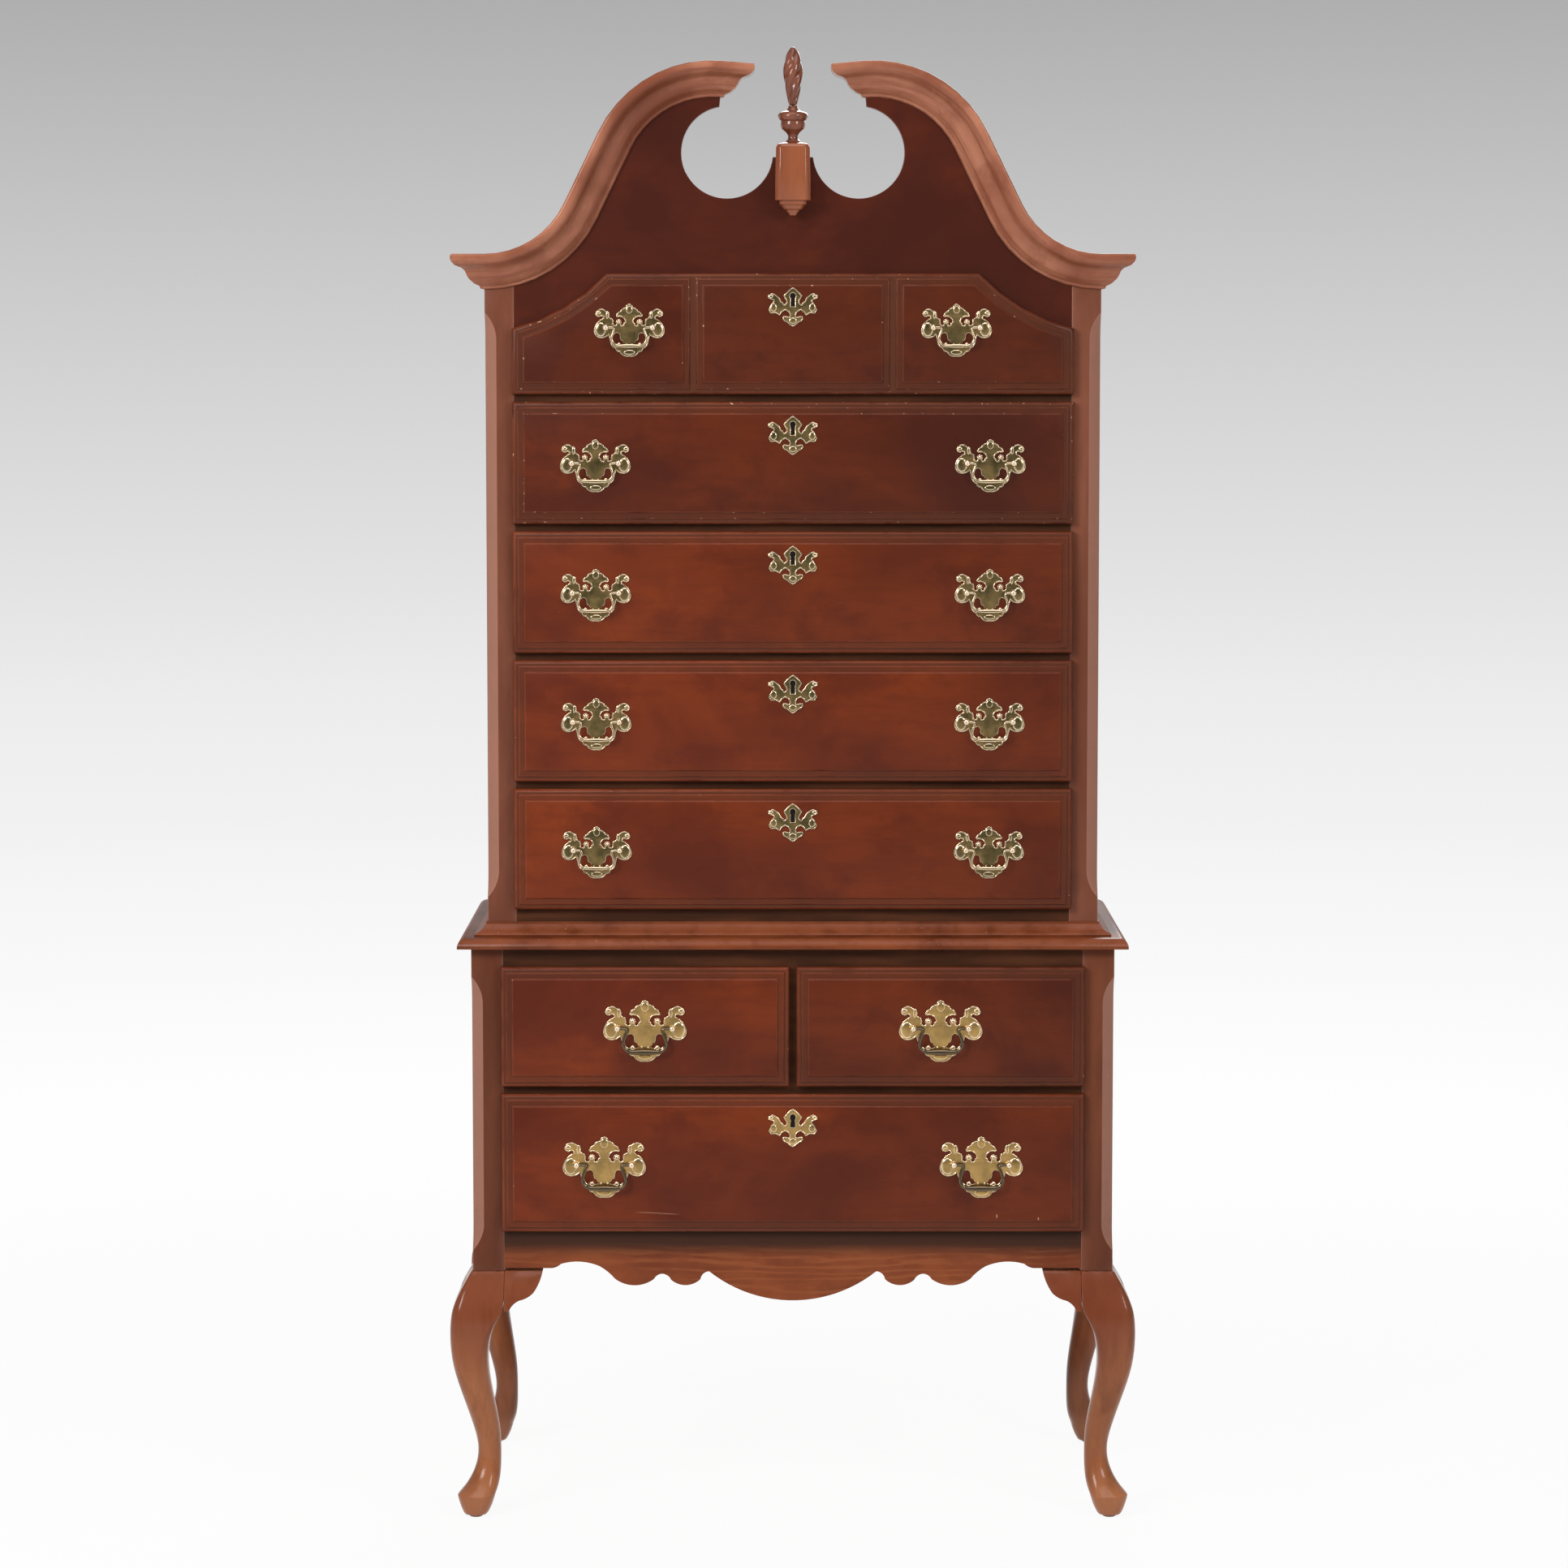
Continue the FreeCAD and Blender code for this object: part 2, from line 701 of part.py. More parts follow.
def shaped_arc(half, shoulder):
    """Centre and radius of the shaped opening's left curve."""
    start = Vector(-half, shoulder)
    end = start + Vector(size("shaped_run"), size("shaped_rise"))
    chord = end - start
    sag = size("shaped_sag")
    radius = (chord.Length / 2) ** 2 / (2 * sag) + sag / 2
    left = Vector(-chord.y, chord.x).normalize()
    return start + chord * 0.5 + left * (radius - sag), radius


def pediment_board():
    """The front board above the top drawer, with its two open eyes and the tongue between."""
    neck = neck_geometry()
    reveal = size("board_reveal")
    clear = size("chest_clear")
    shoulder = size("shaped_shoulder")
    top = size("shaped_top")
    centre, radius = shaped_arc(clear, shoulder)
    start = Vector(-clear, shoulder)
    end = start + Vector(size("shaped_run"), size("shaped_rise"))
    foot_radius = drawn("neck_foot_radius") + reveal
    side_x = -clear - neck["foot"].x
    side_top = Vector(-clear, neck["foot"].y - math.sqrt(foot_radius ** 2 - side_x ** 2))
    shift = Vector(math.sin(neck["slope"]), -math.cos(neck["slope"])) * reveal
    nib = neck["inner"] + neck["down"] * reveal
    eye_x = size("neck_tip") + drawn("eye_centre") - drawn("neck_tip")
    eye = Vector(-eye_x, size("chest_top") + drawn("eye_height"))
    eye_radius = drawn("eye_radius")
    off = nib - eye
    along = off.dot(neck["down"])
    drop = -along - math.sqrt(along ** 2 - off.dot(off) + eye_radius ** 2)
    eye_top = nib + neck["down"] * drop
    horn_z = size("chest_top") + drawn("horn_height")
    horn = Vector(eye.x + math.sqrt(eye_radius ** 2 - (horn_z - eye.y) ** 2), horn_z)
    lower = neck["lower"] + shift
    upper = neck["upper"] + shift
    # each run: its start, its end and, for an arc, a point on the way
    half = [
        (end, start, middle_of_arc(centre, end, start)),
        (start, side_top, None),
        (side_top, lower, middle_of_arc(neck["foot"], side_top, lower)),
        (lower, upper, None),
        (upper, nib, middle_of_arc(neck["crown"], upper, nib)),
        (nib, eye_top, None),
        (eye_top, horn, eye + Vector(-0.6, -0.8) * eye_radius),
    ]
    body = new_body("pediment", "0", "chest_face", "0")
    sketch = sketch_on(body, "XZ_Plane", "pediment_outline")
    for flip in (1, -1):
        for first, last, middle in half:
            ends = [Vector(flip * point.x, point.y) for point in (first, last)]
            if middle is None:
                sketch.addGeometry(Part.LineSegment(*ends), False)
            else:
                over = Vector(flip * middle.x, middle.y)
                sketch.addGeometry(Part.Arc(ends[0], over, ends[1]), False)
    sketch.addGeometry(Part.LineSegment(end, Vector(-end.x, end.y)), False)
    sketch.addGeometry(Part.LineSegment(horn, Vector(-horn.x, horn.y)), False)
    pad(body, sketch, "pediment_board", "pediment_pad", reverse=True)
    node(body, "pediment_board")


# The crown moulding's section, as shares of its projection and of its height from the top down:
# a nosing, an ogee below it that is hollow above and full below, and a fillet.
CROWN_SECTION = [(0, 0), (1, 0), (1, 0.19), (0.86, 0.32), (0.78, 0.35), (0.65, 0.40),
                 (0.565, 0.48), (0.51, 0.61), (0.44, 0.71), (0.285, 0.84), (0.14, 0.90),
                 (0.12, 0.97), (0, 1)]


def crown_outline():
    """The crown moulding's section: projection from the case, drop below its top."""
    return [(x * size("crown_projection"), z * size("crown_height")) for x, z in CROWN_SECTION]


def ring_at(outline, origin, outward, downward):
    """A moulding's section placed in space: its projection along outward, its drop downward."""
    return [origin + outward * projection + downward * drop for projection, drop in outline]


def slid(ring, way, point, normal):
    """The ring's points moved along `way` onto a plane: a straight run's mitred end."""
    return [spot + way * ((point - spot).dot(normal) / way.dot(normal)) for spot in ring]


def flat_to_space(point, y):
    return Vector(point.x, y, point.y)


NECK_STEP = 8  # degrees between the sections of a bent moulding


def bend(start, end):
    """Angles from start to end in equal steps."""
    steps = max(1, round(abs(end - start) / NECK_STEP))
    return [start + (end - start) * step / steps for step in range(steps + 1)]


def left_cornice():
    """The left swan neck, its mitred inner return and its side return."""
    neck = neck_geometry()
    face = size("chest_face")
    outline = crown_outline()
    forward = Vector(0, -1, 0)
    up = Vector(0, 0, 1)
    corner = Vector(-size("chest_half"), face, size("chest_top"))
    inner = flat_to_space(neck["inner"], face)
    along = flat_to_space(neck["along"], 0)
    down = flat_to_space(neck["down"], 0)

    def section(point, angle):
        lean = math.radians(angle)
        lower = Vector(math.sin(lean), 0, -math.cos(lean))
        return ring_at(outline, flat_to_space(point, face), forward, lower)

    level = Vector(neck["foot"].x, corner.z)
    rings = [slid(section(level, 0), Vector(1, 0, 0), corner, Vector(1, -1, 0))]
    for angle in bend(0, size("neck_slope")):
        lean = math.radians(angle)
        spot = neck["foot"] + Vector(math.sin(lean), -math.cos(lean)) * drawn("neck_foot_radius")
        rings.append(section(spot, angle))
    for angle in bend(size("neck_slope"), -math.degrees(neck["end"])):
        lean = math.radians(angle)
        spot = neck["crown"] + Vector(-math.sin(lean), math.cos(lean)) * drawn("neck_radius")
        rings.append(section(spot, angle))
    rings.append(slid(rings[-1], along, inner, along - forward))
    raking = flat_loft(rings)

    side = ring_at(outline, corner, Vector(-1, 0, 0), -up)
    back = Vector(0, 1, 0)
    side_return = flat_loft([slid(side, back, corner, Vector(1, -1, 0)),
                             [spot + back * size("chest_depth") for spot in side]])
    nib = ring_at(outline, inner, along, down)
    inner_return = flat_loft([slid(nib, back, inner, along - forward),
                              [spot + back * size("pediment_board") for spot in nib]])
    return Part.makeCompound([raking, inner_return, side_return])


def cornices():
    left = left_cornice()
    node(feature("left_swan_neck", left), "left_cornice")
    node(feature("right_swan_neck", mirrored(left)), "right_cornice")


# The section of the moulding round the chest's foot, as shares of its projection and height.
FOOT_SECTION = [(0, 0), (0.14, 0), (0.14, 0.16), (0.22, 0.24), (0.36, 0.47), (0.61, 0.67),
                (0.92, 0.79), (1, 0.87), (1, 1), (0, 1)]


def base_moulding():
    """The moulding round the chest's foot: a front length and two sides, mitred."""
    tall = size("base_moulding")
    outline = [(x * size("base_moulding_projection"), z * tall) for x, z in FOOT_SECTION]
    low = Vector(0, 0, -1)
    forward = Vector(0, -1, 0)
    corner = Vector(-size("chest_half"), size("chest_face"), size("chest_bottom") + tall)
    across = Vector(1, 0, 0)
    ring = ring_at(outline, corner, forward, low)
    far = Vector(-corner.x, corner.y, corner.z)
    front = flat_loft([slid(ring, across, corner, Vector(1, -1, 0)),
                       slid(ring, across, far, Vector(1, 1, 0))])
    back = Vector(0, 1, 0)
    side_ring = ring_at(outline, corner, -across, low)
    side = flat_loft([slid(side_ring, back, corner, Vector(1, -1, 0)),
                      [spot + back * size("chest_depth") for spot in side_ring]])
    pieces = [front, side, mirrored(side)]
    node(feature("chest_foot_moulding", Part.makeCompound(pieces)), "chest_base_moulding")


# The plinth's stepped drop, from its tip up: height against the block's foot, width.
DROP_STATIONS = [(-20, 8), (-12, 20), (-11.5, 25), (-5.5, 33), (-5, 37), (0, 37)]
DROP_STEP = 0.5  # slant of the block's foot above its drop
# The block's cap: depth below its top, and how much narrower it is than the block.
CAP_STATIONS = [(7, 0), (2.5, 5), (0, 24)]


def plinth():
    """The chamfered block that carries the finial, with its stepped drop."""
    tall = size("plinth_height")
    foot = size("plinth_foot_width")
    width = size("plinth_width")
    stations = DROP_STATIONS + [(DROP_STEP, foot)]
    stations += [(tall - below, width - less) for below, less in CAP_STATIONS]
    low = size("plinth_low")
    middle = size("chest_face") - size("plinth_depth") / 2
    rings = []
    for height, across in stations:
        half = across / 2
        deep = half * size("plinth_depth") / foot
        nick = size("plinth_chamfer") * across / foot
        corners = [(half, deep - nick), (half - nick, deep), (nick - half, deep),
                   (-half, deep - nick), (-half, nick - deep), (nick - half, -deep),
                   (half - nick, -deep), (half, nick - deep)]
        rings.append([Vector(x, middle + y, low + height) for x, y in corners])
    node(feature("plinth_block", flat_loft(rings)), "finial_plinth")


# The flame's stations: share of its height, radius as a share of the widest.
FLAME_STATIONS = [(0.0, 0.45), (0.08, 0.50), (0.23, 0.73), (0.37, 0.91), (0.52, 1.0), (0.64, 0.99),
                  (0.74, 0.90), (0.83, 0.73), (0.91, 0.52), (0.965, 0.31), (1.0, 0.10)]
FLAME_FLATS = 4
FLUTE_DEPTH = 0.18
# The turned cup: radius as a share of the widest, height as a share of the cup's.
CUP_TURNING = [(0.50, 0), (0.48, 0.04), (0.34, 0.09), (0.32, 0.17), (0.47, 0.27), (0.77, 0.37),
               (0.80, 0.57), (0.86, 0.62), (0.96, 0.67), (1.0, 0.73), (0.84, 0.82), (0.44, 0.89),
               (0.30, 1.0)]
CUP_FLATS = 12


def finial():
    """A turned cup with a twisted, fluted flame standing in it."""
    cup = size("cup_radius")
    flame_foot = size("cup_height")
    cup_rings = [[around(360 * step / CUP_FLATS, width * cup) + Vector(0, 0, share * flame_foot)
                  for step in range(CUP_FLATS)] for width, share in CUP_TURNING]
    flame_rings = []
    lobes = int(size("flame_lobes"))
    count = lobes * FLAME_FLATS
    for share, width in FLAME_STATIONS:
        height = flame_foot + share * (size("finial_height") - flame_foot)
        ring = []
        for step in range(count):
            angle = 360 * step / count
            swell = 1 - FLUTE_DEPTH * (1 - abs(math.cos(math.radians(angle * lobes / 2))))
            arm = around(angle + share * size("flame_twist"), size("flame_radius") * width * swell)
            ring.append(arm + Vector(0, 0, height))
        flame_rings.append(ring)
    turned = Part.makeCompound([flat_loft(cup_rings), flat_loft(flame_rings)])
    place = feature("finial_turning", turned)
    bind(place, Placement__Base__y="chest_face - plinth_depth / 2",
         Placement__Base__z="plinth_low + plinth_height")
    node(place, "finial")


# ---------------------------------------------------------------- drawers

# Each drawer: the case's face, its opening's two sides, low edge and height, how far the lip
# overlaps at each side, the pulls' places and bore, and whether it has an escutcheon.
def drawer(name, case, low, height, left, right, pulls, bore, lock=True, left_lip="lip_side",
           right_lip="lip_side", shaped=False):
    return dict(name=name, face=case + "_face", low=low, height=height, left=left, right=right,
                pulls=pulls, bore=bore, lock=lock, left_lip=left_lip, right_lip=right_lip,
                shaped=shaped)


DRAWERS = [drawer("top_drawer", "chest", "shaped_bottom", "shaped_side", "-chest_clear",
                  "chest_clear", ["-top_pull", "top_pull"], "chest_bore",
                  shaped=True)]
for place in range(4):
    DRAWERS.append(drawer(f"chest_drawer_{place + 1}", "chest",
                          f"(chest_first + {3 - place} * chest_pitch)", "chest_opening",
                          "-chest_clear", "chest_clear",
                          ["-chest_pull", "chest_pull"], "chest_bore"))
DRAWERS += [
    drawer("base_left_drawer", "base", "small_bottom", "small_opening", "-base_clear", "-rail / 2",
           ["-(base_clear + lip_side + rail / 2 - lip_edge) / 2"], "base_bore", lock=False,
           right_lip="lip_edge"),
    drawer("base_right_drawer", "base", "small_bottom", "small_opening", "rail / 2", "base_clear",
           ["(base_clear + lip_side + rail / 2 - lip_edge) / 2"], "base_bore", lock=False,
           left_lip="lip_edge"),
    drawer("base_long_drawer", "base", "long_bottom", "long_opening", "-base_clear", "base_clear",
           ["-base_pull", "base_pull"], "base_bore"),
]


def shaped_curve(lip, inset):
    """The left curve of the shaped front from its shoulder to its top end, in short chords.
    `lip` is how far the outline starts beyond the opening, at the side and along the top."""
    half = size("chest_clear") + lip[0]
    centre, radius = shaped_arc(half, size("shaped_shoulder") + lip[1])
    radius += inset
    top = size("shaped_top") + lip[1] - inset
    side = inset - half
    start = math.atan2(-math.sqrt(radius ** 2 - (side - centre.x) ** 2), side - centre.x)
    end = math.atan2(top - centre.y, math.sqrt(radius ** 2 - (centre.y - top) ** 2))
    return [centre + around(math.degrees(start + (end - start) * step / SHAPED_CHORDS), radius)
            for step in range(SHAPED_CHORDS + 1)]


def shaped_layer(sketch, low, lip, inset, split=None):
    """One layer of the shaped front: whole, or split into three panels by two valleys."""
    curve = shaped_curve(lip, inset)
    left = [(point.x, point.y) for point in curve]
    top = left[-1][1]
    if split is None:
        right = [(-x, z) for x, z in reversed(left)]
        closed_outline(sketch, left + right + [(-left[0][0], low), (left[0][0], low)])
        return
    inner = -size("valley_offset") - split
    panel = left + [(inner, top), (inner, low), (left[0][0], low)]
    closed_outline(sketch, panel)
    closed_outline(sketch, [(-x, z) for x, z in panel])
    half = size("valley_offset") - split
    closed_outline(sketch, [(-half, low), (half, low), (half, top), (-half, top)])


def drawer_front(spec):
    """A lipped front: the core that enters the opening, the lip, a bead and a raised field."""
    name = spec["name"]
    body = new_body(name + "_front_body", "0", spec["face"], "0")
    layers = [("lip", "lip_gap", "0", "lip_block", "Fillet", "lip_round"),
              ("bead", "lip_gap + lip_block", "bead_inset", "bead_rise", "Fillet", "bead_round"),
              ("field", "lip_gap + lip_block + bead_rise", "field_inset", "field_rise", "Chamfer",
               "field_chamfer")]
    for layer, offset, inset, rise, kind, amount in layers:
        sketch = sketch_on(body, "XZ_Plane", f"{name}_{layer}_outline", offset)
        if spec["shaped"]:
            within = 0 if layer == "lip" else size(inset)
            split = size("valley_width") / 2 + within - size("bead_inset")
            shaped_layer(sketch, size("shaped_bottom") - size("lip_edge") + within,
                         (size("lip_side"), size("lip_edge")), within,
                         None if layer == "lip" else split)
        else:
            rectangle(sketch, f"{spec['left']} - {spec['left_lip']} + {inset}",
                      f"{spec['low']} - lip_edge + {inset}",
                      f"({spec['right']}) - ({spec['left']}) + {spec['left_lip']}"
                      f" + {spec['right_lip']} - 2 * {inset}",
                      f"{spec['height']} + 2 * lip_edge - 2 * {inset}")
        block = pad(body, sketch, rise, f"{name}_{layer}")
        doc.recompute()
        front = block.Shape.BoundBox.YMin
        measure = {"Radius": amount} if kind == "Fillet" else {"Size": amount}
        soften(body, kind, block, lambda point: abs(point.y - front) < FLUSH,
               f"{name}_{layer}_edge", **measure)
    core = sketch_on(body, "XZ_Plane", f"{name}_core_outline", "lip_gap")
    if spec["shaped"]:
        play = size("front_play")
        shaped_layer(core, size("shaped_bottom") + play, (0, 0), play)
    else:
        rectangle(core, f"{spec['left']} + front_play", f"{spec['low']} + front_play",
                  f"({spec['right']}) - ({spec['left']}) - 2 * front_play",
                  f"{spec['height']} - 2 * front_play")
    pad(body, core, "lip_gap + front_core", name + "_core", reverse=True)
    node(body, name + "_front")


def drawer_box(spec):
    """Two grooved sides, a back and a bottom that slides in under the back."""
    name = spec["name"]
    front = f"({spec['face']} + front_core)"
    deep = f"(base_rear - back_panel - back_room - {front})"
    low = f"({spec['low']} + slide_play)"
    tall = f"({spec['height']} - slide_play - head_room)"
    left = f"(({spec['left']}) + side_play)"
    right = f"(({spec['right']}) - side_play)"
    groove_low = f"{low} + bottom_rise"
    pieces = []
    for side_name, outer, groove in (
            ("left", left, f"{left} + drawer_side - bottom_groove"),
            ("right", f"{right} - drawer_side", f"{right} - drawer_side")):
        side = board(f"{name}_{side_name}_side", outer, front, low, "drawer_side", deep, tall)
        slot = board(f"{name}_{side_name}_groove", groove, front, groove_low, "bottom_groove", deep,
                     "drawer_bottom")
        cut = doc.addObject("Part::Cut", f"{name}_{side_name}_grooved_side")
        cut.Base = side
        cut.Tool = slot
        pieces.append(cut)
    inside = f"({right} - {left} - 2 * drawer_side)"
    pieces.append(board(name + "_bottom", f"{left} + drawer_side - bottom_groove", front,
                        groove_low, f"{inside} + 2 * bottom_groove", deep, "drawer_bottom"))
    pieces.append(board(name + "_back", f"{left} + drawer_side", f"{front} + {deep} - drawer_side",
                        f"{groove_low} + drawer_bottom", inside, "drawer_side",
                        f"{tall} - bottom_rise - drawer_bottom"))
    group(name + "_box", pieces)


# The right half of a pull's backplate, from its top to its drop, for a bore of 76.2: from the
# middle, from the line of the posts.
PLATE_BORE = 76.2
BATWING = [(0, 37.8), (5.3, 31.8), (20.5, 22), (11, 13.5), (7, 6), (13.8, 2.8), (17, 8),
           (27, 6), (28.5, 15), (36, 27), (46, 28.5), (55, 23), (43, 15), (55.5, 9), (56.6, -3),
           (51, -12), (42, -15.6), (33.5, -10.5), (25, -30), (8.5, -43)]
BATWING_DROP = (0, -45.8)
# One of the two openings pierced through a backplate, behind the bail.
PIERCING = [(19.8, -8.4), (25.5, -18.0), (21.4, -27.0), (5.5, -26.5), (12.6, -20.5)]
# The right half of an escutcheon, from its top to its foot.
ESCUTCHEON = [(0, 25.9), (12.2, 17.0), (8.2, 8), (11.9, 2.3), (21, 14.1), (28.3, 18),
              (33.4, 14.6), (25.5, 8.5), (31.5, 0), (31.5, -6.5), (18, -10.7), (10.7, -3.4),
              (5, -5.6), (4.2, -14), (12.8, -12.8), (12.2, -17.2)]
ESCUTCHEON_FOOT = (0, -25.8)
KEYHOLE = [(-1.8, 1.7), (1.8, 1.7), (2.7, 13.8), (0, 16.5), (-2.7, 13.8)]


def both_halves(right_half, foot):
    left_half = [(-x, z) for x, z in reversed(right_half[1:])]
    return right_half + [foot] + left_half


def sheet_brass(outline, scale=1.0):
    """A flat brass of the given outline, its back in the plane Y = 0, its face toward -Y."""
    face = Part.Face(outline_wire([(x * scale, z * scale) for x, z in outline]))
    return upright(face.extrude(Vector(0, 0, size("plate"))))


def backplate(bore):
    """A pull's pierced backplate, for posts that far apart."""
    scale = size(bore) / PLATE_BORE
    plate = sheet_brass(both_halves(BATWING, BATWING_DROP), scale)
    piercings = [sheet_brass([(side * x, z) for x, z in PIERCING], scale) for side in (-1, 1)]
    return plate.cut(Part.makeCompound(piercings))


POST_FLATS = 6
BAIL_FLATS = 6
POST_FLANGE = 2.2  # height of a post's flange above the plate


def turned_post():
    """A bail's post: a flange on the plate, a neck and a head bored for the bail's pin."""
    reach = size("post_reach")
    head = size("post_head")
    profile = [(head, 0), (size("post_shank"), POST_FLANGE), (head, reach - 0.5 * head),
               (head, reach + 0.5 * head), (0.6 * head, reach + head)]
    rings = [[around(360 * (step + 0.5) / POST_FLATS, radius) + Vector(0, 0, height)
              for step in range(POST_FLATS)] for radius, height in profile]
    bore = (size("pin_radius") + size("pin_play")) / math.cos(math.pi / BAIL_FLATS)
    hole = [Vector(-2 * head, point.x, reach + point.y) for point in
            (around(360 * (step + 0.5) / BAIL_FLATS, bore) for step in range(BAIL_FLATS))]
    pin_way = Part.Face(Part.makePolygon(hole + hole[:1])).extrude(Vector(4 * head, 0, 0))
    return upright(flat_loft(rings).cut(pin_way))


def pull_height(spec):
    """Height of a pull's posts: the middle of a plain front, set higher on the shaped one."""
    if spec["shaped"]:
        return size("shaped_bottom") + size("top_pull_rise")
    return evaluated(spec["low"]) + size(spec["height"]) / 2


def drawer_brasses(spec):
    """Backplates with their posts, and the escutcheon, on a drawer's raised field."""
    y = size(spec["face"]) - size("front_proud")
    post = turned_post()
    pieces = []
    for place in spec["pulls"]:
        x = evaluated(place)
        z = pull_height(spec)
        pieces.append(moved(backplate(spec["bore"]), x, y, z))
        for side in (-1, 1):
            pieces.append(moved(post, x + side * size(spec["bore"]) / 2, y - size("plate"), z))
    if spec["lock"]:
        top = evaluated(spec["low"]) + size(spec["height"]) + size("lip_edge")
        z = top - size("escutcheon_drop")
        if spec["shaped"]:
            z = size("shaped_top") + size("lip_edge") - size("escutcheon_drop")
        plate = sheet_brass(both_halves(ESCUTCHEON, ESCUTCHEON_FOOT))
        hole = sheet_brass(KEYHOLE)
        pieces.append(moved(plate.cut(hole), 0, y, z))
    node(feature(spec["name"] + "_brass_set", Part.makeCompound(pieces)), spec["name"] + "_brasses")


# The bail from one pin to its middle, for a bore of 76.2: from the middle, from the pins' line,
# and the thickness as a share of the pin's.
BAIL_PATH = [(42.0, 0, 1.0), (28.5, 0, 1.0), (25.4, -3.5, 1.25), (29.4, -18.0, 1.35),
             (25.5, -30.0, 1.5), (16.0, -32.5, 1.7), (7.0, -32.5, 2.1)]


def bail_rod(scale):
    """A bail hanging from its pins: a rod of flat-sided section with mitred bends."""
    right = [(x * scale, z * scale, thick) for x, z, thick in BAIL_PATH]
    path = right + [(-x, z, thick) for x, z, thick in reversed(right)]
    points = [Vector(x, 0, z) for x, z, _ in path]
    rings = []
    for index, point in enumerate(points):
        before = (point - points[index - 1]).normalize() if index else None
        after = (points[index + 1] - point).normalize() if index + 1 < len(points) else None
        before = before or after
        after = after or before
        run = (before + after).normalize()
        across = run.cross(Vector(0, 1, 0))
        stretch = 1 / run.dot(after)
        radius = size("pin_radius") * path[index][2]
        ring = []
        for step in range(BAIL_FLATS):
            angle = math.radians(360 * (step + 0.5) / BAIL_FLATS)
            ring.append(point + across * (math.cos(angle) * radius * stretch)
                        + Vector(0, math.sin(angle) * radius, 0))
        rings.append(ring)
    return flat_loft(rings)


def bails(spec):
    y = size(spec["face"]) - size("front_proud") - size("plate") - size("post_reach")
    z = pull_height(spec)
    names = [spec["name"] + "_bail"]
    if len(spec["pulls"]) == 2:
        names = [f"{spec['name']}_{side}_bail" for side in SIDES]
    for name, place in zip(names, spec["pulls"]):
        rod = bail_rod(size(spec["bore"]) / PLATE_BORE)
        node(feature(name + "_rod", moved(rod, evaluated(place), y, z)), name)


def build():
    chest_case()
    base_case()
    base_top()
    apron()
    legs()
    knee_brackets()
    pediment_board()
    cornices()
    base_moulding()
    plinth()
    finial()
    for spec in DRAWERS:
        drawer_front(spec)
        drawer_box(spec)
        drawer_brasses(spec)
        bails(spec)


def export():
    """Check every object and write each node under its label."""
    doc.recompute()
    for item in doc.Objects:
        if {"Invalid", "Error"} & set(item.State):
            raise RuntimeError(f"{item.Label} did not build: {item.State}")
    os.makedirs("parts", exist_ok=True)
    for piece in NODES:
        shape = piece.Shape
        if shape.isNull() or not shape.isValid() or not shape.Solids:
            raise RuntimeError(f"{piece.Label} is not a sound solid")
        shape.exportStep(f"parts/{piece.Label}.step")


build()
export()
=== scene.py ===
import json
import math

import bpy
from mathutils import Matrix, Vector


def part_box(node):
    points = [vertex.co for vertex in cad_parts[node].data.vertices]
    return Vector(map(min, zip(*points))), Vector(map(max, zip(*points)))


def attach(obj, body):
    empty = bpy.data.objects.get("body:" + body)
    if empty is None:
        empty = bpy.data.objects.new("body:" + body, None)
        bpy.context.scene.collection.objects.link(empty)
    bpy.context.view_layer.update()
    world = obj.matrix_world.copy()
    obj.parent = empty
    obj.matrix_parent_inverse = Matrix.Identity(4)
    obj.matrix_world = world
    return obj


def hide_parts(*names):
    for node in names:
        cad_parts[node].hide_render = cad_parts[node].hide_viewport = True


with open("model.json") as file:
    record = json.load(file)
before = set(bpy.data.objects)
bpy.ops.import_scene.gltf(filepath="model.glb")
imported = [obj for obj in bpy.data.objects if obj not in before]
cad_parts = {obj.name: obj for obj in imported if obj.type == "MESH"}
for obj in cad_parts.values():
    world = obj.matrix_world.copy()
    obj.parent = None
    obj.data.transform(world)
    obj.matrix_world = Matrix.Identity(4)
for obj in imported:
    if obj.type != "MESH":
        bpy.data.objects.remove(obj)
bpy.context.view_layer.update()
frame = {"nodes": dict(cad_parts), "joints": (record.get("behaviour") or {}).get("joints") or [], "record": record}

# A two-part highboy in red-brown stained wood with aged brass pulls. The scene is in metres, +Z
# up and +X to the right, and the drawers open toward -Y.

MM = 0.001
BODY_OF = {node: body for body, nodes in frame["record"]["behaviour"]["bodies"].items()
           for node in nodes}
CHEST_DRAWERS = ["top_drawer"] + [f"chest_drawer_{place}" for place in range(1, 5)]
BASE_DRAWERS = ["base_left_drawer", "base_right_drawer", "base_long_drawer"]
DRAWERS = CHEST_DRAWERS + BASE_DRAWERS
# Where the cases end: the front of each, and the base's rear and half width.
CHEST_FACE = -201.6 * MM
BASE_FACE = -226.6 * MM
BASE_REAR = 230.4 * MM
BASE_HALF = 444.5 * MM


# ---------------------------------------------------------------- finishes

def paint(red, green, blue):
    """A colour, 0 to 255 a channel, as the shaders count it."""
    channels = []
    for level in (red, green, blue):
        share = level / 255
        channels.append(share / 12.92 if share <= 0.04045 else ((share + 0.055) / 1.055) ** 2.4)
    return (*channels, 1.0)


def grey(level):
    return paint(level, level, level)


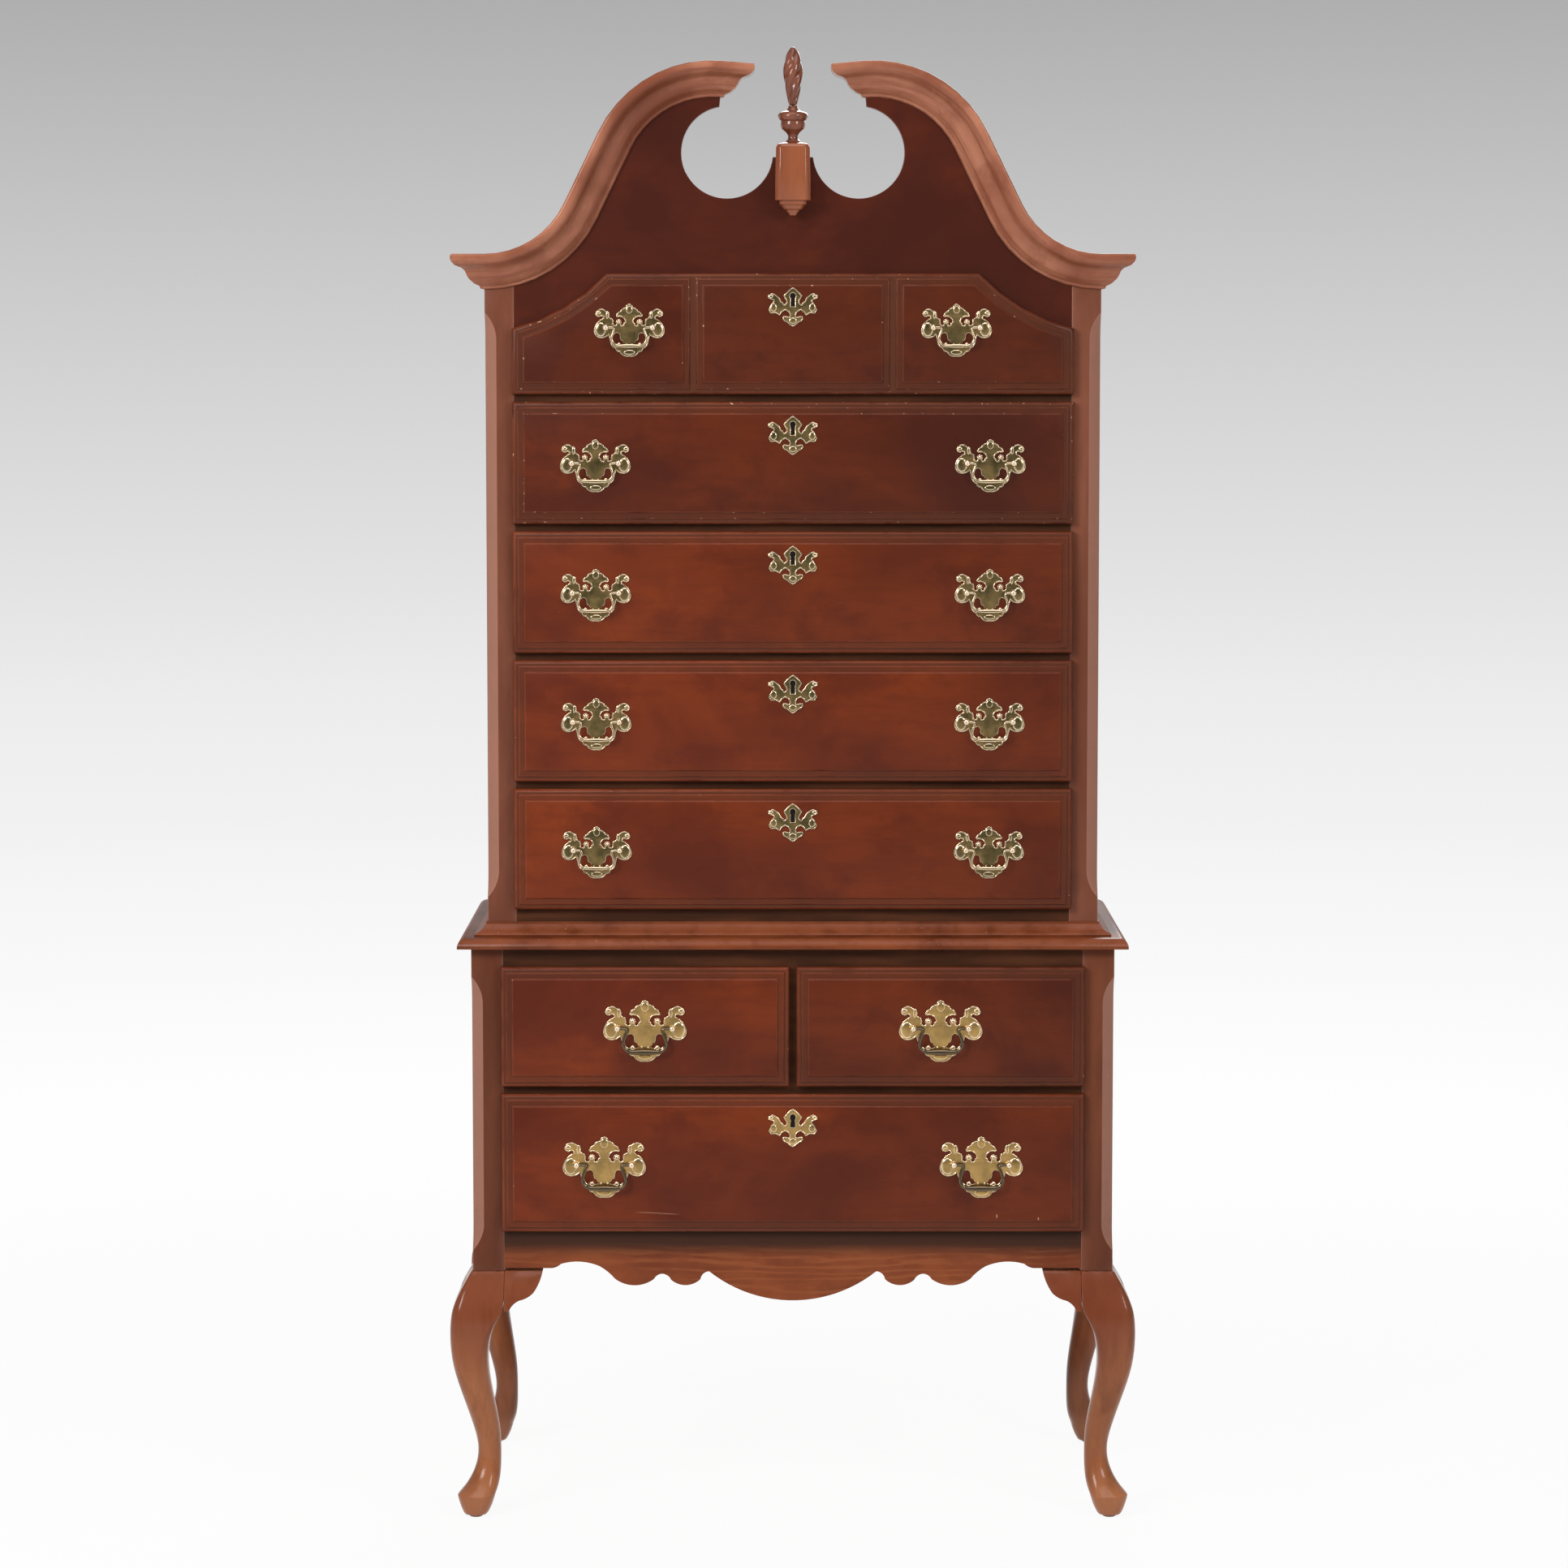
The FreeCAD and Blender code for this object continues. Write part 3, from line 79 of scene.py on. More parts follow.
class Reading:
    """One output of a node. Arithmetic on it adds Math nodes."""

    def __init__(self, finish, socket):
        self.finish = finish
        self.socket = socket

    def math(self, operation, *others):
        return self.finish.node("Math", {"operation": operation},
                                dict(enumerate((self, *others))))

    def __add__(self, other):
        return self.math("ADD", other)

    def __sub__(self, other):
        return self.math("SUBTRACT", other)

    def __mul__(self, other):
        return self.math("MULTIPLY", other)

    def __rsub__(self, other):
        return self.finish.node("Math", {"operation": "SUBTRACT"}, {0: other, 1: self})

    def absolute(self):
        return self.math("ABSOLUTE")

    def larger(self, other):
        return self.math("MAXIMUM", other)

    def rising(self, low, high):
        """0 below low, 1 above high, with a smooth rise between."""
        return self.finish.node("MapRange", {"interpolation_type": "SMOOTHSTEP"},
                                {"Value": self, "From Min": low, "From Max": high})

    def within(self, near, far):
        """1 up to the near distance on either side of 0, and 0 beyond the far one."""
        return 1 - self.absolute().rising(near, far)


class Finish:
    """A material or a world being mixed."""

    def __init__(self, name, holder=None):
        self.holder = holder or bpy.data.materials.new(name)
        self.holder.use_nodes = True
        self.tree = self.holder.node_tree
        self.tree.nodes.clear()

    def node(self, kind, settings=None, values=None, out=0):
        """Add a node: its settings first, then the values or links of its sockets."""
        node = self.tree.nodes.new("ShaderNode" + kind)
        settings = dict(settings or {})
        stops = settings.pop("stops", ())
        for name, setting in settings.items():
            setattr(node, name, setting)
        while len(stops) > len(node.color_ramp.elements if stops else ()):
            node.color_ramp.elements.new(0.5)
        for place, (position, colour) in enumerate(stops):
            node.color_ramp.elements[place].position = position
            node.color_ramp.elements[place].color = colour
        for name, value in (values or {}).items():
            socket = self.pick(node.inputs, name)
            if isinstance(value, Reading):
                self.tree.links.new(value.socket, socket)
            else:
                socket.default_value = value
        return Reading(self, self.pick(node.outputs, out)) if node.outputs else None

    @staticmethod
    def pick(sockets, name):
        if isinstance(name, int):
            return sockets[name]
        return next(socket for socket in sockets if name in (socket.identifier, socket.name))

    def blend(self, share, first, second):
        """The first colour, with the second laid over it by that share."""
        return self.node("Mix", {"data_type": "RGBA"},
                         {"Factor_Float": share, "A_Color": first, "B_Color": second},
                         out="Result_Color")

    def place(self, stretch=(1, 1, 1), seed=0.0):
        """Object coordinates, squeezed for a grain and shifted for one piece."""
        return self.node("Mapping", {}, {"Vector": self.node("TexCoord", out="Object"),
                                         "Scale": stretch,
                                         "Location": [seed * shift for shift in SEED_SHIFT]})

    def cloud(self, where, scale, detail=3.0, rough=0.5, twist=0.0):
        return self.node("TexNoise", {}, {"Vector": where, "Scale": scale, "Detail": detail,
                                          "Roughness": rough, "Distortion": twist})

    def along(self, axis, kind="Object"):
        """One coordinate, or one part of the way that the surface faces."""
        return self.node("SeparateXYZ", {}, {0: self.node("TexCoord", out=kind)},
                         out="XYZ".index(axis))

    def slant(self):
        """1 on eased and rounded edges, 0 on faces square to the piece."""
        parts = [self.along(axis, "Normal").absolute() for axis in "XYZ"]
        return 1 - parts[0].larger(parts[1]).larger(parts[2]).rising(0.90, 0.995)

    def close(self, height, depth, strength, **values):
        """Give the surface its shader and its relief. Socket names have _ for a space."""
        values["Normal"] = self.node("Bump", {}, {"Height": height, "Distance": depth,
                                                  "Strength": strength})
        shader = self.node("BsdfPrincipled", {}, {name.replace("_", " "): value
                                                  for name, value in values.items()})
        self.node("OutputMaterial", {}, {"Surface": shader})
        return self.holder


# How far each grain is stretched; "run" follows the length of the curved mouldings.
GRAIN = {"X": (0.14, 1, 1), "Y": (1, 0.14, 1), "Z": (1, 1, 0.14), "run": (0.08, 2.6, 0.08)}
PORE = {"X": (0.05, 1, 1), "Y": (1, 0.05, 1), "Z": (1, 1, 0.05), "run": (0.03, 1, 0.03)}
CLOUDS = {"X": (0.62, 1, 0.9), "Z": (1, 1, 0.30), "run": (0.7, 1, 0.7)}
# How far one piece's grain is taken from another's, for seeds that differ by 1.
SEED_SHIFT = (1.37, 2.11, 3.03)
MOTTLE_SEED = 4.7  # sets the mottling apart from the broad clouds of the same piece
# The clouds that finishes are mixed from: scale, detail, roughness and, for some, distortion.
BROAD = (6.5, 5.0, 0.55, 0.5)
MOTTLE = (19.0, 6.0, 0.62, 0.3)
STREAK = (75.0, 4.0, 0.6, 0.3)
FINE = (560.0, 3.0, 0.7)
RUB = (34.0, 3.0, 0.6)
CHIP = (170.0, 2.0, 0.5)
HAZE = (11.0, 4.0, 0.6)
INNER_BROAD = (11.0, 3.0, 0.5, 0.5)
INNER_STREAK = (95.0, 4.0, 0.6, 0.2)
INNER_STAIN = (3.2, 3.0, 0.6)
PATINA = (48.0, 4.0, 0.6)
SPECK = (420.0, 3.0, 0.6)
# How deep each surface's relief is.
WOOD_RELIEF = 0.4 * MM
INNER_RELIEF = 0.5 * MM
BRASS_RELIEF = 0.3 * MM
# Worn edges, painted lighter also as the highlight that they catch.
RUBBED_AND_HIGHLIT = paint(148, 82, 56)
BARE = paint(205, 160, 126)
# The dark of filled pores, and of the painted shade across the drawer fronts.
GRIME_AND_SHADE = paint(34, 18, 11)
RAW_DARK = paint(150, 108, 68)
RAW_LIGHT = paint(184, 142, 98)
OLD_STAIN = paint(96, 62, 38)
TARNISH = paint(58, 48, 30)
HANDLED_FADE = 2.0 * MM


def stained_wood(name, grain, seed, dark, middle, light, glow, wear_and_highlight, chips=0.76,
                 figure=0.0, gloss=0.36, polish=0.09, lines=0.30, extra=None):
    """Stained and polished wood, its grain along one axis: broad warm clouds, fine streaks,
    short dark pores, and lighter edges, worn and with a painted highlight. A larger chips gives
    fewer chips, and a larger gloss a duller surface."""
    wood = Finish(name)
    broad = wood.cloud(wood.place(CLOUDS[grain], seed), *BROAD)
    mottle = wood.cloud(wood.place(CLOUDS[grain], seed + MOTTLE_SEED), *MOTTLE)
    streak = wood.cloud(wood.place(GRAIN[grain], seed), *STREAK)
    fine = wood.cloud(wood.place(PORE[grain], seed), *FINE)
    colour = wood.blend(broad.rising(0.30, 0.58), dark, middle)
    colour = wood.blend(broad.rising(0.48, 0.74) * mottle.rising(0.30, 0.70) * glow,
                        colour, light)
    colour = wood.blend(streak.rising(0.44, 0.70) * lines, colour, dark)
    colour = wood.blend(mottle.rising(0.48, 0.66) * 0.6, colour, dark)
    if figure:
        curl = wood.node("TexWave", {"wave_type": "BANDS", "bands_direction": "Z"},
                         {"Vector": wood.place(GRAIN[grain], seed), "Scale": 30.0,
                          "Distortion": 16.0, "Detail": 3.0, "Detail Scale": 0.8,
                          "Detail Roughness": 0.55}, out="Fac")
        colour = wood.blend(curl.rising(0.55, 0.95) * mottle.rising(0.35, 0.60) * figure,
                            colour, light)
    pores = fine.rising(0.60, 0.74)
    colour = wood.blend(pores * 0.22, colour, GRIME_AND_SHADE)
    if wear_and_highlight:
        rub = wood.cloud(wood.place(seed=seed), *RUB)
        chip = wood.cloud(wood.place(seed=seed), *CHIP)
        edges = wood.slant()
        # Worn edges, lighter also as a painted highlight along them.
        colour = wood.blend(edges * rub.rising(0.22, 0.56) * wear_and_highlight, colour, RUBBED_AND_HIGHLIT)
        colour = wood.blend(edges * chip.rising(chips, chips + 0.02), colour, BARE)
    if extra:
        colour = extra(wood, colour)
    haze = wood.cloud(wood.place(seed=seed), *HAZE)
    return wood.close(streak * 0.3 + fine * 0.35 + haze * 0.35, WOOD_RELIEF, 0.25,
                      Base_Color=colour, Roughness=haze * 0.18 + pores * 0.08 + (gloss - 0.09),
                      Specular_IOR_Level=0.13, Coat_Weight=polish, Coat_Roughness=0.12)


def plain_wood(name, grain, seed, dark, light, extra=None):
    """Unpolished inner wood: pale, with soft streaks and a dusty surface."""
    wood = Finish(name)
    broad = wood.cloud(wood.place(GRAIN[grain], seed), *INNER_BROAD)
    streak = wood.cloud(wood.place(PORE[grain], seed), *INNER_STREAK)
    stain = wood.cloud(wood.place(seed=seed), *INNER_STAIN)
    colour = wood.blend(broad.rising(0.32, 0.68), dark, light)
    colour = wood.blend(streak.rising(0.50, 0.78) * 0.45, colour, dark)
    colour = wood.blend(stain.rising(0.55, 0.75) * 0.25, colour, OLD_STAIN)
    if extra:
        colour = extra(wood, colour)
    return wood.close(streak * 0.8 + broad * 0.3, INNER_RELIEF, 0.35, Base_Color=colour,
                      Roughness=stain * 0.15 + 0.60, Specular_IOR_Level=0.12)


def aged_brass(name, seed, dull, warm, bright, polished_from=None):
    """Cast brass, dulled in its flats, brighter on its rims, worn there and with a painted highlight,
    and rubbed bright on what is handled.
    """
    brass = Finish(name)
    cloud = brass.cloud(brass.place(seed=seed), *PATINA)
    speck = brass.cloud(brass.place(seed=seed), *SPECK)
    rims = brass.along("Y", "Normal").within(0.86, 0.995)
    colour = brass.blend(cloud.rising(0.32, 0.68), dull, warm)
    colour = brass.blend(speck.rising(0.60, 0.76) * 0.25, colour, TARNISH)
    # The rims: rubbed brass, and partly a painted highlight.
    shine = rims * 0.9
    if polished_from is not None:
        handled = (polished_from - brass.along("Y")).rising(0.0, HANDLED_FADE)
        shine = shine.larger(handled * 0.7)
    colour = brass.blend(shine, colour, bright)
    return brass.close(speck * 0.5 + cloud, BRASS_RELIEF, 0.20, Base_Color=colour, Metallic=1.0,
                       Roughness=cloud * 0.16 + 0.17 - shine * 0.07)


# ---------------------------------------------------------------- ways of working

NEAR = 0.01 * MM  # corners closer than this count as one
EASE_STEPS = 2
KEPT_EASE = 0.6 * MM  # how far the edges of a node that keeps its own shape are eased
KEPT_ANGLE = 40  # degrees between two of its faces, above which that is done
BOARD_ANGLE = 18  # degrees, less than the 22.5 from a face to the first step of its eased edge
MERGE = (bpy.ops.mesh.remove_doubles, {"threshold": NEAR})
OUTWARD = (bpy.ops.mesh.normals_make_consistent, {"inside": False})
FLATTEN = (bpy.ops.mesh.dissolve_limited, {"angle_limit": math.radians(0.5)})
CLOSE = (bpy.ops.mesh.fill_holes, {"sides": 0})


def alone(piece):
    """Select one piece and nothing else."""
    bpy.ops.object.select_all(action="DESELECT")
    piece.select_set(True)
    bpy.context.view_layer.objects.active = piece


def begun(operator, **settings):
    """Start a piece from a primitive."""
    bpy.ops.object.select_all(action="DESELECT")
    operator(**settings)
    return bpy.context.active_object


def choose(piece, kind, test):
    """Select the piece's corners, edges or faces by a test, and nothing else of it."""
    alone(piece)
    mesh = piece.data
    for group in (mesh.vertices, mesh.edges, mesh.polygons):
        group.foreach_set("select", [False] * len(group))
    bpy.context.tool_settings.mesh_select_mode = tuple(kind == name for name in
                                                       ("vertices", "edges", "polygons"))
    for item in getattr(mesh, kind):
        item.select = test(item)


def edit(piece, *steps, whole=True):
    """Run edit-mode operators, given as (operator, settings), on the piece or its choice."""
    alone(piece)
    bpy.ops.object.mode_set(mode="EDIT")
    if whole:
        bpy.ops.mesh.select_all(action="SELECT")
    for operator, settings in steps:
        operator(**settings)
    bpy.ops.object.mode_set(mode="OBJECT")
    return piece


def apply(piece, kind, **settings):
    """Add a modifier and apply it."""
    alone(piece)
    modifier = piece.modifiers.new(kind.lower(), kind)
    for name, value in settings.items():
        setattr(modifier, name, value)
    bpy.ops.object.modifier_apply(modifier=modifier.name)


def settle(piece):
    """Bring the piece's place, turn and scale into its mesh."""
    alone(piece)
    bpy.ops.object.transform_apply(location=True, rotation=True, scale=True)
    return piece


def shifted(piece, x, y, z):
    piece.location = (x, y, z)
    return settle(piece)


def smoothed(piece, angle):
    """Shade faces that meet at less than the angle, in degrees, as one surface."""
    alone(piece)
    bpy.ops.object.shade_smooth_by_angle(angle=math.radians(angle))
    return piece


def joined(name, pieces):
    alone(pieces[0])
    for piece in pieces[1:]:
        piece.select_set(True)
    if len(pieces) > 1:
        bpy.ops.object.join()
    pieces[0].name = pieces[0].data.name = name
    return pieces[0]


def copied(piece, name):
    """Another of the same, with its own mesh."""
    twin = bpy.data.objects.new(name, piece.data.copy())
    bpy.context.scene.collection.objects.link(twin)
    return twin


def mirrored(piece, name, sides, centre):
    """A copy seen in a mirror: sides holds -1 for each axis that is turned round."""
    twin = copied(piece, name)
    return edit(twin, (bpy.ops.transform.resize, {"value": sides, "center_override": centre}),
                OUTWARD)


def coated(piece, finish):
    piece.data.materials.clear()
    piece.data.materials.append(finish)
    piece.data.polygons.foreach_set("material_index", [0] * len(piece.data.polygons))
    return piece


def standing_in(piece, node, finish):
    """The piece takes a node's place and moves with it."""
    coated(piece, finish)
    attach(piece, BODY_OF[node])
    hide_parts(node)


def eased(piece, width, angle=30):
    """Ease every edge sharper than the angle by a width in mm, and smooth the rest."""
    apply(piece, "BEVEL", width=width * MM, segments=EASE_STEPS, limit_method="ANGLE",
          angle_limit=math.radians(angle))
    return smoothed(piece, angle)


def shaped_from(node):
    """A copy of a node's own shape, in whole faces."""
    return edit(copied(frame["nodes"][node], node + "_wood"), MERGE, FLATTEN)


def worked_over(node, finish, ease=0.8, board=False):
    """A node's own shape with eased edges. A broad board drops the shading it was given and is
    flat up to those edges."""
    piece = eased(shaped_from(node), ease)
    if board:
        bpy.ops.mesh.customdata_custom_splitnormals_clear()
        smoothed(piece, BOARD_ANGLE)
    standing_in(piece, node, finish)


def finished(node, finish):
    """A node that keeps its own shape, with its edges eased, in a finish."""
    piece = coated(frame["nodes"][node], finish)
    piece.modifiers.new("weld", "WELD").merge_threshold = NEAR
    ease = piece.modifiers.new("ease", "BEVEL")
    ease.width = KEPT_EASE
    ease.segments = EASE_STEPS
    ease.limit_method = "ANGLE"
    ease.angle_limit = math.radians(KEPT_ANGLE)


def drawn_up(rise, growth):
    """The steps that draw a selected face up by a height in mm and resize it about the axis."""
    return [(bpy.ops.mesh.extrude_region_move,
             {"TRANSFORM_OT_translate": {"value": (0, 0, rise * MM)}}),
            (bpy.ops.transform.resize, {"value": (growth, growth, 1),
                                        "center_override": (0, 0, 0)})]


def turned(name, profile, around=28):
    """A turning about the Z axis, drawn up through its profile of (radius, height) in mm."""
    radius, height = profile[0]
    piece = begun(bpy.ops.mesh.primitive_circle_add, vertices=around, radius=radius * MM,
                  fill_type="NGON", location=(0, 0, height * MM))
    piece.name = name
    steps = []
    for (before, low), (after, high) in zip(profile, profile[1:]):
        steps += drawn_up(high - low, after / before)
    edit(piece, *steps)
    edit(settle(piece), OUTWARD)
    return smoothed(piece, angle=40)


def bridged(name, rings):
    """A closed skin drawn over rings from one end to the other."""
    piece = edit(joined(name, rings), (bpy.ops.mesh.bridge_edge_loops, {"type": "SINGLE"}))
    return edit(piece, CLOSE, OUTWARD)


# ---------------------------------------------------------------- brasses

ARC_STEPS = 6


def arc_points(start, end, rise):
    """Points from start up to but not at end, on an arc that rises to the left of the way."""
    start, end = Vector(start), Vector(end)
    if not rise:
        return [start]
    chord = end - start
    half = chord.length / 2
    radius = (half * half + rise * rise) / (2 * abs(rise))
    left = Vector((-chord.y, chord.x)).normalized()
    side = 1 if rise > 0 else -1
    centre = start + chord / 2 + left * (rise - side * radius)
    first = math.atan2(start.y - centre.y, start.x - centre.x)
    turn = 2 * math.asin(min(1.0, half / radius))
    if abs(rise) > half:
        turn = 2 * math.pi - turn
    angles = [first - side * turn * step / ARC_STEPS for step in range(ARC_STEPS)]
    return [centre + Vector((math.cos(angle), math.sin(angle))) * radius for angle in angles]


def outline_points(path, outward=1):
    """A closed outline from (x, z, rise of the arc to the next point)."""
    points = []
    for entry, after in zip(path, path[1:] + path[:1]):
        points += arc_points(entry[:2], after[:2], outward * entry[2])
    return points


def both_sides(right_half):
    """A closed outline from its right half, top to foot, both on the middle line."""
    rises = [rise for _, _, rise in right_half[:-1]]
    left = [(-x, z) for x, z, _ in reversed(right_half[1:])]
    return right_half[:-1] + [(x, z, rise) for (x, z), rise in zip(left, reversed(rises))]


# Outlines for a bore of 76.2 mm, the right half from top to foot: from the middle, from the line
# of the posts, and how far the arc to the next point bulges outward.
BATWING = [(0, 37.8, 1.6), (5.3, 31.8, 1.8), (14, 26, 1.2), (19.8, 21, 1.2), (19, 18.3, -4.3),
           (5.7, 8.5, 1.0), (8.5, 5, -1.0), (13.8, 2.8, 0), (14.4, 6.2, 6.9), (19.8, 6.2, 0),
           (20.6, 3.6, -1.6), (27, 6, 0.8), (27.8, 14, -1), (33.2, 18, 0.8), (34.5, 25.6, -0.6),
           (38.5, 26.8, 4.4), (54.3, 23.5, 2.2), (48, 18.5, -3), (41.9, 14.8, 3),
           (56.6, -3, 5.6), (42, -15.6, 0.8), (33.5, -10.5, -0.5), (29.5, -26, 1.2),
           (21.9, -32.8, 2.0), (15, -38.6, 3.0), (0, -45.8, 0)]
PIERCING = [(19.8, -8.4, 0.8), (15.2, -12.5, -0.6), (13.6, -20.5, 1.0), (4.6, -25.2, 0),
            (12.8, -28.6, -4.6), (21.4, -28.6, 1.2), (26.8, -22, 3.8)]
# Swellings cast into the plate: middle, half width, half height, rise.
SWELLINGS = [(46.5, -3.0, 9.0, 11.5, 2.0), (0, -12, 12.5, 19, 0.6), (0, 29, 5.5, 6.5, 1.0),
             (17.1, 9.4, 3.9, 3.9, 3.4), (50.0, 24.0, 4.6, 2.9, 1.8), (35.8, 20.5, 2.4, 6.5, 1.2),
             (17.1, -27.2, 3.6, 3.6, 3.0), (0, -40, 9.5, 4.0, 1.2), (4.6, -26.6, 1.6, 1.6, 1.8)]
ESCUTCHEON = [(0, 25.9), (3.1, 24.4), (8, 19.8), (12.2, 15.3), (8.3, 9), (8, 5.9), (9.8, 3.8),
              (11.9, 2.3), (14.3, 5.9), (16.8, 7.7), (18.6, 12), (21, 14.1), (24.6, 16.8),
              (28.3, 18), (33.4, 15.6), (33.1, 12.6), (30, 11.4), (26.4, 10.2), (25.5, 7.7),
              (29.5, 2.9), (32.5, -3.8), (30, -8), (23.4, -7.4), (18, -10.7), (15.5, -6.2),
              (10.7, -3.4), (5.9, -5.6), (3.4, -9.8), (4.4, -14.6), (8.9, -13.4),
              (12.8, -12.8), (13.4, -15.9), (11.3, -18.6), (8.3, -19.5), (2.8, -24.3),
              (0, -25.8)]
# Wider than the hole that shows, which the rounded rim narrows.
KEYHOLE = [(-3.2, 0.6, 0), (-2.7, 11.4, 0), (-3.6, 13.2, 6.2), (3.6, 13.2, 0), (2.7, 11.4, 0),
           (3.2, 0.6, 0)]
# The painted shade behind it: how far above the escutcheon's middle, half width and half height.
KEYHOLE_MIDDLE = 8.5
KEYHOLE_WIDE = 4.2
KEYHOLE_TALL = 10.5
KEY_SWELLINGS = [(26.5, -0.5, 4.6, 5.6, 1.2), (29.8, 14.6, 3.2, 2.2, 1.2),
                 (0, -18.5, 5.4, 4.2, 1.1)]
PLATE = 1.6  # thickness of a plate
SUNK = 0.3  # how far a swelling reaches down into its plate
RIM = 1.25  # width of a plate's rounded rim
BEAD = 0.95  # radius of the bead along its outer edge
BEAD_MIDDLE = 1.1  # how far the bead's middle stands from the drawer's face
BORE_DRAWN = 76.2
CHEST_BORE = 64.0
BASE_BORE = 76.2
ESCUTCHEON_DROP = 46  # from the lip's top to the escutcheon's middle


def as_mesh(curve):
    """An object for a curve, made a mesh."""
    piece = bpy.data.objects.new(curve.name, curve)
    bpy.context.scene.collection.objects.link(piece)
    alone(piece)
    bpy.ops.object.convert(target="MESH")
    return edit(bpy.context.active_object, MERGE, OUTWARD)


def closed_curve(name, outlines, scale, **settings):
    """Closed outlines in mm as one curve."""
    curve = bpy.data.curves.new(name, "CURVE")
    for setting, value in settings.items():
        setattr(curve, setting, value)
    for points in outlines:
        spline = curve.splines.new("POLY")
        spline.points.add(len(points) - 1)
        for corner, point in zip(spline.points, points):
            corner.co = (point[0] * scale * MM, point[1] * scale * MM, 0, 1)
        spline.use_cyclic_u = True
    return curve


def sheet_brass(name, outlines, scale):
    """A brass sheet with rounded rims, its back on the drawer's face."""
    piece = as_mesh(closed_curve(name, outlines, scale, dimensions="2D", fill_mode="BOTH",
                                 bevel_depth=RIM * MM, bevel_resolution=3,
                                 offset=-RIM * MM))
    piece.rotation_euler.x = math.pi / 2
    piece.scale.z = PLATE / (2 * RIM)
    return smoothed(shifted(piece, 0, -PLATE / 2 * MM, 0), angle=40)


def rim_bead(outline, scale):
    """The round bead cast along a plate's outer edge."""
    bead = as_mesh(closed_curve("rim_bead", [outline], scale, dimensions="3D",
                                bevel_depth=BEAD * MM, bevel_resolution=2))
    bead.rotation_euler.x = math.pi / 2
    return smoothed(shifted(bead, 0, -BEAD_MIDDLE * MM, 0), angle=60)


def swelling(x, z, wide, tall, rise):
    """A dome on the plate's front: half of a stretched ball."""
    dome = begun(bpy.ops.mesh.primitive_uv_sphere_add, segments=20, ring_count=12, radius=1)
    dome.rotation_euler.x = math.pi / 2
    dome.scale = (wide * MM, tall * MM, rise * MM)
    edit(settle(dome), (bpy.ops.mesh.bisect, {"plane_co": (0, 0, 0), "plane_no": (0, 1, 0),
                                              "clear_outer": True, "use_fill": True}), OUTWARD)
    return smoothed(shifted(dome, x * MM, (SUNK - PLATE) * MM, z * MM), angle=60)


def swellings(table, scale):
    return [swelling(side * x * scale, z * scale, wide * scale, tall * scale, rise)
            for x, z, wide, tall, rise in table for side in ((1, -1) if x else (1,))]


POST_TURNING = [(4.3, 0), (4.4, 0.5), (3.9, 1.3), (3.2, 2.0), (2.9, 3.0), (3.0, 4.2),
                (3.6, 5.2), (4.15, 6.4), (4.4, 8.0), (4.4, 9.4), (4.1, 11.0), (3.3, 12.2),
                (1.9, 13.05), (0.6, 13.3)]


def pull_plate(bore):
    """A pierced batwing plate with its swellings and its two posts, at the origin."""
    scale = bore / BORE_DRAWN
    outlines = [outline_points(both_sides(BATWING))]
    outlines += [[(side * x, z) for x, z in outline_points(PIERCING, outward=-1)]
                 for side in (1, -1)]
    pieces = [sheet_brass("batwing", outlines, scale), rim_bead(outlines[0], scale)]
    pieces += swellings(SWELLINGS, scale)
    for side in (1, -1):
        post = turned("bail_post", POST_TURNING)
        post.rotation_euler.x = math.pi / 2
        pieces.append(shifted(post, side * bore / 2 * MM, -PLATE * MM, 0))
    return joined("pull_plate", pieces)


def keyhole_plate():
    outline = both_sides([(x, z, 0) for x, z in ESCUTCHEON])
    outlines = [[(x, z) for x, z, _ in outline], outline_points(KEYHOLE)]
    return joined("keyhole_plate",
                  [sheet_brass("escutcheon", outlines, 1), rim_bead(outlines[0], 1)]
                  + swellings(KEY_SWELLINGS, 1))


# A bail for a bore of 76.2 mm, from a pin's end to its middle. The pin: from the middle, from the
# line of the pins, radius.
PIN = [(42.0, 0, 1.5), (34.5, 0, 1.5), (33.2, 0, 1.7), (28.0, 0, 1.8)]
PIN_THICKEST = 1.8  # up to this radius a bail is as thick in both sizes
BEND = 3.5  # the bend from the pin into the arm
BEND_THICK = 1.9
BEND_STEPS = 6
BAIL_LEAN = 110  # degrees that the arm turns from its pin
ARM_THICK = 2.0
ARM_FOOT_THICK = 2.05
SWEEP = 12.3  # the bow from the arm into the bar
SWEEP_SWELL = 0.045  # how much thicker it grows at each step
SWEEP_STEPS = 10
BAR = [(0.35, 2.9), (0.65, 3.3), (1, 3.4)]  # share of the way to the middle, radius


